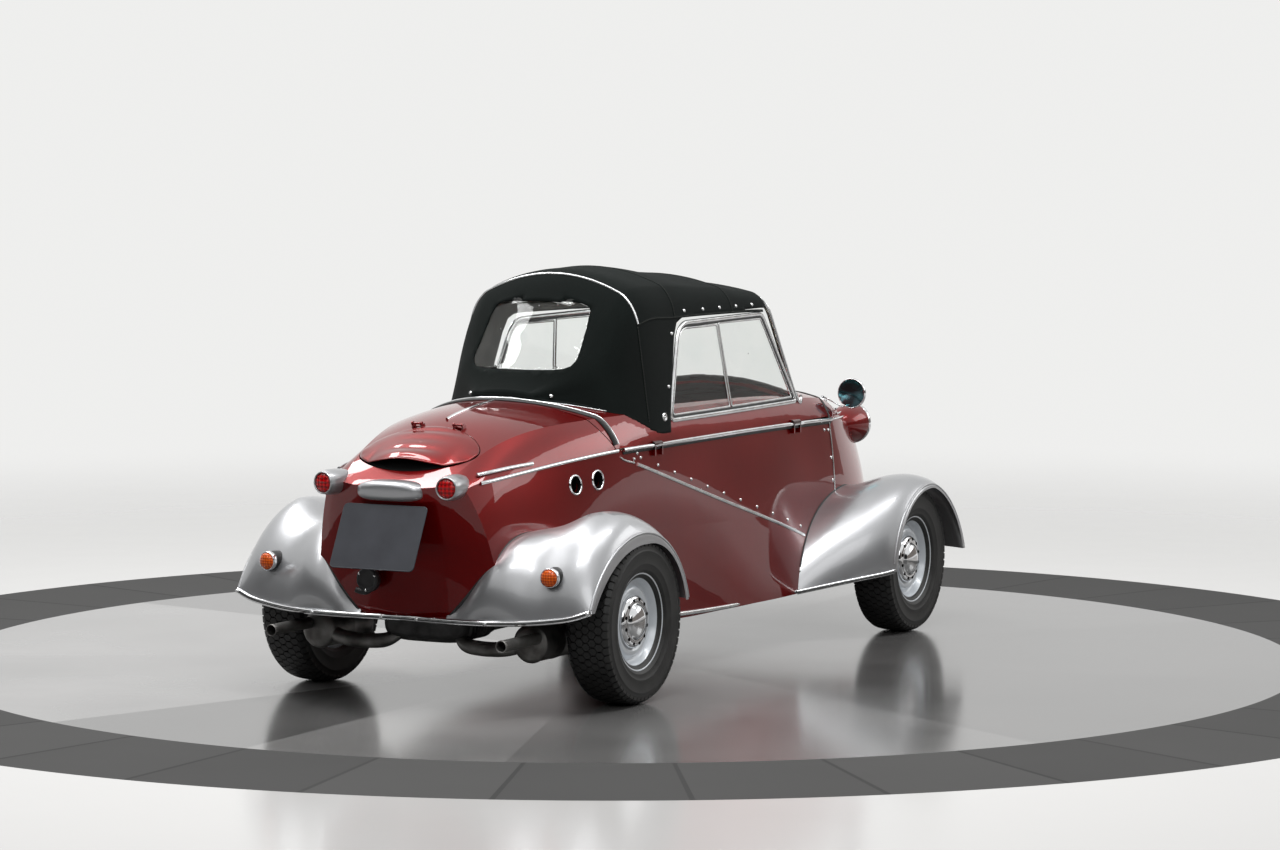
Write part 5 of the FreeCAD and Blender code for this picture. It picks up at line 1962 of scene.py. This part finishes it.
def buildLid():
    settings = lidSettings
    levels = lidLevels()
    crown = smoothed(thickened(gridMesh(lidRows(levels, 0.0, True), True), settings["thickness"]))
    pan = gridMesh(lidRows(levels, settings["panDrop"], False, settings["panShare"]), True)
    addPiece("lid_cover", crown, "lid", "red_paint", redPaint, ["lid"])
    # the dark pan under the crown paints the shade seen through the lid's mouth
    addPiece("lid_pan", thickened(pan, settings["panThickness"]), "lid", "dark_steel", paintedHoleShade)


buildLid()
print("lid made")


# Exhausts and crankcase

exhaustSettings = {
    "silencer": [(0.0, 0.0), (0.03, 0.0), (0.044, 0.003), (0.052, 0.009), (0.0552, 0.015), (0.0566, 0.018),
                 (0.0552, 0.021), (0.0545, 0.026), (0.0545, 0.118), (0.056, 0.121), (0.056, 0.127),
                 (0.0545, 0.13), (0.0545, 0.22), (0.0562, 0.226), (0.052, 0.235), (0.04, 0.242),
                 (0.0, 0.246)],
    "silencerEnd": (-1.23, 0.358, 0.195),
    "tailPipe": [(0.0, 0.0), (0.0175, 0.0), (0.0175, 0.199), (0.0183, 0.203), (0.0178, 0.2115),
                 (0.016, 0.213), (0.0148, 0.211), (0.0142, 0.2), (0.0142, 0.07), (0.0, 0.07)],
    "tailPipeStart": (-1.22, 0.385, 0.214),
    "header": [(-1.05, 0.09, 0.306), (-1.11, 0.092, 0.262), (-1.155, 0.098, 0.212), (-1.192, 0.13, 0.178),
               (-1.204, 0.19, 0.17), (-1.204, 0.262, 0.172), (-1.199, 0.312, 0.183), (-1.19, 0.34, 0.192)],
    "headerWidth": 0.044,
    # x, half width, half height of the crankcase round its middle height
    "crankcase": [(-1.238, 0.06, 0.02), (-1.235, 0.094, 0.04), (-1.222, 0.12, 0.05), (-1.19, 0.14, 0.058),
                  (-1.06, 0.142, 0.06), (-1.03, 0.142, 0.06)],
    "caseHeight": 0.243,
    "caseSteps": 56,
    "fins": [-1.185 + number * 0.017 for number in range(8)],
    # a fin's section: step ahead, then reach past the case
    "finRing": [(-0.002, -0.01), (-0.0015, 0.007), (0.0015, 0.007), (0.002, -0.01)],
    "flange": [(0.0, 0.0), (0.034, 0.0), (0.034, 0.006), (0.0, 0.006)],
}


def buildExhausts():
    settings = exhaustSettings
    line = [Vector(point) for point in smoothPath(settings["header"], 60)]
    width = settings["headerWidth"]
    half = joined([
        spun(settings["silencer"], settings["silencerEnd"], exhaustSteel),
        spun(settings["tailPipe"], settings["tailPipeStart"], exhaustSteel, (-1, 0, 0), 40),
        spun(settings["flange"], line[0] + Vector((-0.006, 0, 0.003)), exhaustSteel, line[1] - line[0], 32),
        bead([[(point, Vector((0, 0, 1))) for point in line]], width, width, exhaustSteel, sides=28)])
    addPiece("exhaust_pipes", joined([half, mirroredMesh(half)]), "body", "exhaust_steel", None, ["exhaust"])


def caseRow(x, halfWidth, halfHeight):
    middle = exhaustSettings["caseHeight"]
    spots = [squared(angle, 0.5) for angle in turns(exhaustSettings["caseSteps"])]
    return [Vector((x, halfWidth * across, middle + halfHeight * up)) for across, up in spots]


def buildCrankcase():
    settings = exhaustSettings
    rows = [caseRow(*row) for row in smoothPath(settings["crankcase"], 40)]
    case = gridMesh([[sum(rows[0], Vector()) / len(rows[0])] * len(rows[0])] + rows, True)
    _, width, height = settings["crankcase"][4]
    parts = [case]
    for x in settings["fins"]:
        fin = [caseRow(x + step, width + grow, height + grow) for step, grow in settings["finRing"]]
        parts.append(gridMesh(fin, True))
    addPiece("crankcase", joined(parts), "body", "engine_metal", engineMetal)


buildExhausts()
buildCrankcase()
print("exhausts made")


# Seats

seatSettings = {
    # rear x, front x, low z, cushion z, back's top z, lean of the back
    "places": {
        "front": (-0.09, 0.33, 0.33, 0.43, 0.79, 0.07),
        "rear": (-0.52, -0.215, 0.31, 0.4, 0.69, 0.02)},
    "half": 0.196,
    "back": 0.07,
    "inset": 0.006,
    "kneeRise": 0.004,
    "backLow": (0.06, 0.085),  # heights of the back's lower edge, behind and ahead
    "round": 0.02,
    "voxel": 0.006,
    "pressure": 4.0,
    "frames": 20,
    "travel": 0.009,  # the most that a point moves
    "smoothing": {"factor": 0.5, "iterations": 4},
    "piping": 0.007,
}


def padShell(profile, half):  # a closed pad, from its side outline and half width
    shell = bmesh.new()
    rows = [[shell.verts.new((x, y, z)) for x, z in profile] for y in (-half, half)]
    shell.faces.new(rows[0])
    shell.faces.new(list(reversed(rows[1])))
    for number in range(len(profile)):
        ahead = (number + 1) % len(profile)
        shell.faces.new((rows[0][ahead], rows[0][number], rows[1][number], rows[1][ahead]))
    bmesh.ops.recalc_face_normals(shell, faces=shell.faces)
    edges, size = list(shell.edges), seatSettings["round"]
    bmesh.ops.bevel(shell, geom=edges, offset=size, segments=4, profile=0.6, affect="EDGES")
    return smoothed(meshFrom(shell))


def swollen(mesh):
    settings = seatSettings
    remesh = ("REMESH", {"mode": "VOXEL", "voxel_size": settings["voxel"], "use_smooth_shade": True})
    pad = linked("pad", finishedMesh(mesh, remesh))
    start = [vertex.co.copy() for vertex in pad.data.vertices]
    cloth = pad.modifiers.new("cover", "CLOTH")
    cloth.settings.use_pressure = True
    cloth.settings.uniform_pressure_force = settings["pressure"]
    cloth.settings.effector_weights.gravity = 0.0
    for frameNumber in range(1, settings["frames"] + 1):
        scene.frame_set(frameNumber)
    graph = bpy.context.evaluated_depsgraph_get()
    blown = bpy.data.meshes.new_from_object(pad.evaluated_get(graph))
    pad.modifiers.clear()
    for vertex, old in zip(blown.vertices, start):
        travel = vertex.co - old
        if travel.length > settings["travel"]:
            vertex.co = old + travel.normalized() * settings["travel"]
    pad.data = blown
    scene.frame_set(1)
    result = finishedMesh(pad.data.copy(), ("SMOOTH", settings["smoothing"]))
    bpy.data.objects.remove(pad)
    return smoothed(result)


def pipingRound(profile, half, inward):  # the sewn edge on both sides of a pad
    middle = Vector((sum(x for x, _ in profile) / len(profile), sum(z for _, z in profile) / len(profile)))
    stops = []
    for (x, z), (endX, endZ) in zip(profile, profile[1:] + profile[:1]):
        stops += [(between(x, endX, part), between(z, endZ, part)) for part in (0.12, 0.5, 0.88)]
    paths = []
    for side in sides.values():
        path = []
        for x, z in smoothPath(stops + stops[:1], 90):
            point = Vector((x, z)) + (middle - Vector((x, z))).normalized() * inward
            path.append((Vector((point.x, side * (half - inward), point.y)), Vector((0, side, 0))))
        paths.append(path)
    return paths


def buildSeats():
    settings = seatSettings
    half, inset, thick = settings["half"], settings["inset"], settings["back"]
    backFoot, backSeat = settings["backLow"]
    for name, (rear, front, low, level, top, lean) in settings["places"].items():
        pads = {
            "cushion": [(rear + thick * 0.6, low + inset), (front - inset, low + inset),
                        (front - inset, level + settings["kneeRise"]), (rear + thick * 0.75, level - inset)],
            "back": [(rear + inset - lean * 0.2, low + backFoot), (rear + thick - inset, low + backSeat),
                     (rear + thick - lean - inset, top - inset), (rear - lean + inset, top - inset)]}
        for part, profile in pads.items():
            replaced = ["seat_" + name] if part == "cushion" else ()
            stem = name + "_seat_" + part
            pad = swollen(padShell(profile, half - inset))
            piece = addPiece(stem, pad, "body", "seat_cream", creamLeather, replaced)
            size, welts = settings["piping"], pipingRound(profile, half, inset)
            addBead(stem + "_welt", welts, size, size, "body", "seat_cream", creamLeather)


buildSeats()
print("seats made")


# Hood seams

seamSettings = {
    "shoulder": (0.43, -0.425, 0.232),  # from, to, share of the arch
    "drop": (-0.432, 0.235, 0.03),  # place, share from, share to
    "size": (0.009, 0.0022),
    "stitchPitch": 0.009,
    "stitchSize": (0.0011, 0.0007),
    "eyelet": (-0.336, 0.79),
    "ring": [(0.006, 0.0), (0.008, 0.002), (0.011, 0.003), (0.013, 0.001), (0.0135, 0.0)],
    "buttonSize": (0.0045, 0.003),
}


def seamPaths():
    settings = seamSettings
    front, rear, share = settings["shoulder"]
    place, high, low = settings["drop"]
    seams = []
    for mirror in (False, True):
        for stops in ([(between(front, rear, part / 60), share) for part in range(61)],
                      [(place, between(high, low, part / 30)) for part in range(31)]):
            seams.append([onHood(x, 1 - across if mirror else across) for x, across in stops])
    for bow in (2, 1):
        x = hoodSettings["bows"][bow]
        seams.append([onHood(x, between(share, 1 - share, part / 60)) for part in range(61)])
    return seams


def stitchesAlong(seam):
    length = sum((b[0] - a[0]).length for a, b in zip(seam, seam[1:]))
    count = max(int(length / seamSettings["stitchPitch"]), 2)
    stitches = []
    for number in range(count):
        place = number / (count - 1) * (len(seam) - 1)
        first = min(int(place), len(seam) - 2)
        point, normal = seam[first]
        stitches.append((point.lerp(seam[first + 1][0], place - first) + normal * 0.0012, normal))
    return stitches


def buildHoodSeams():
    settings = seamSettings
    seams = seamPaths()
    addBead("hood_seams", seams, *settings["size"], "canopy", "black_canvas", canvas, 0.0004)
    stitches = [stitch for seam in seams for stitch in stitchesAlong(seam)]
    addPiece("hood_stitches", studs(stitches, *settings["stitchSize"], lining), "canopy", "black_canvas")
    rings = []
    for side in sides.values():
        x, z = settings["eyelet"]
        point, normal = onHood(x, shareAt(x, side, z))
        rings.append(spun(settings["ring"], point, brightTrim, normal, 28))
        rings.append(studs([(point, normal)], *settings["buttonSize"], brightTrim))
    addPiece("hood_eyelets", joined(rings), "canopy", "chrome_trim")


buildHoodSeams()
print("hood seams made")
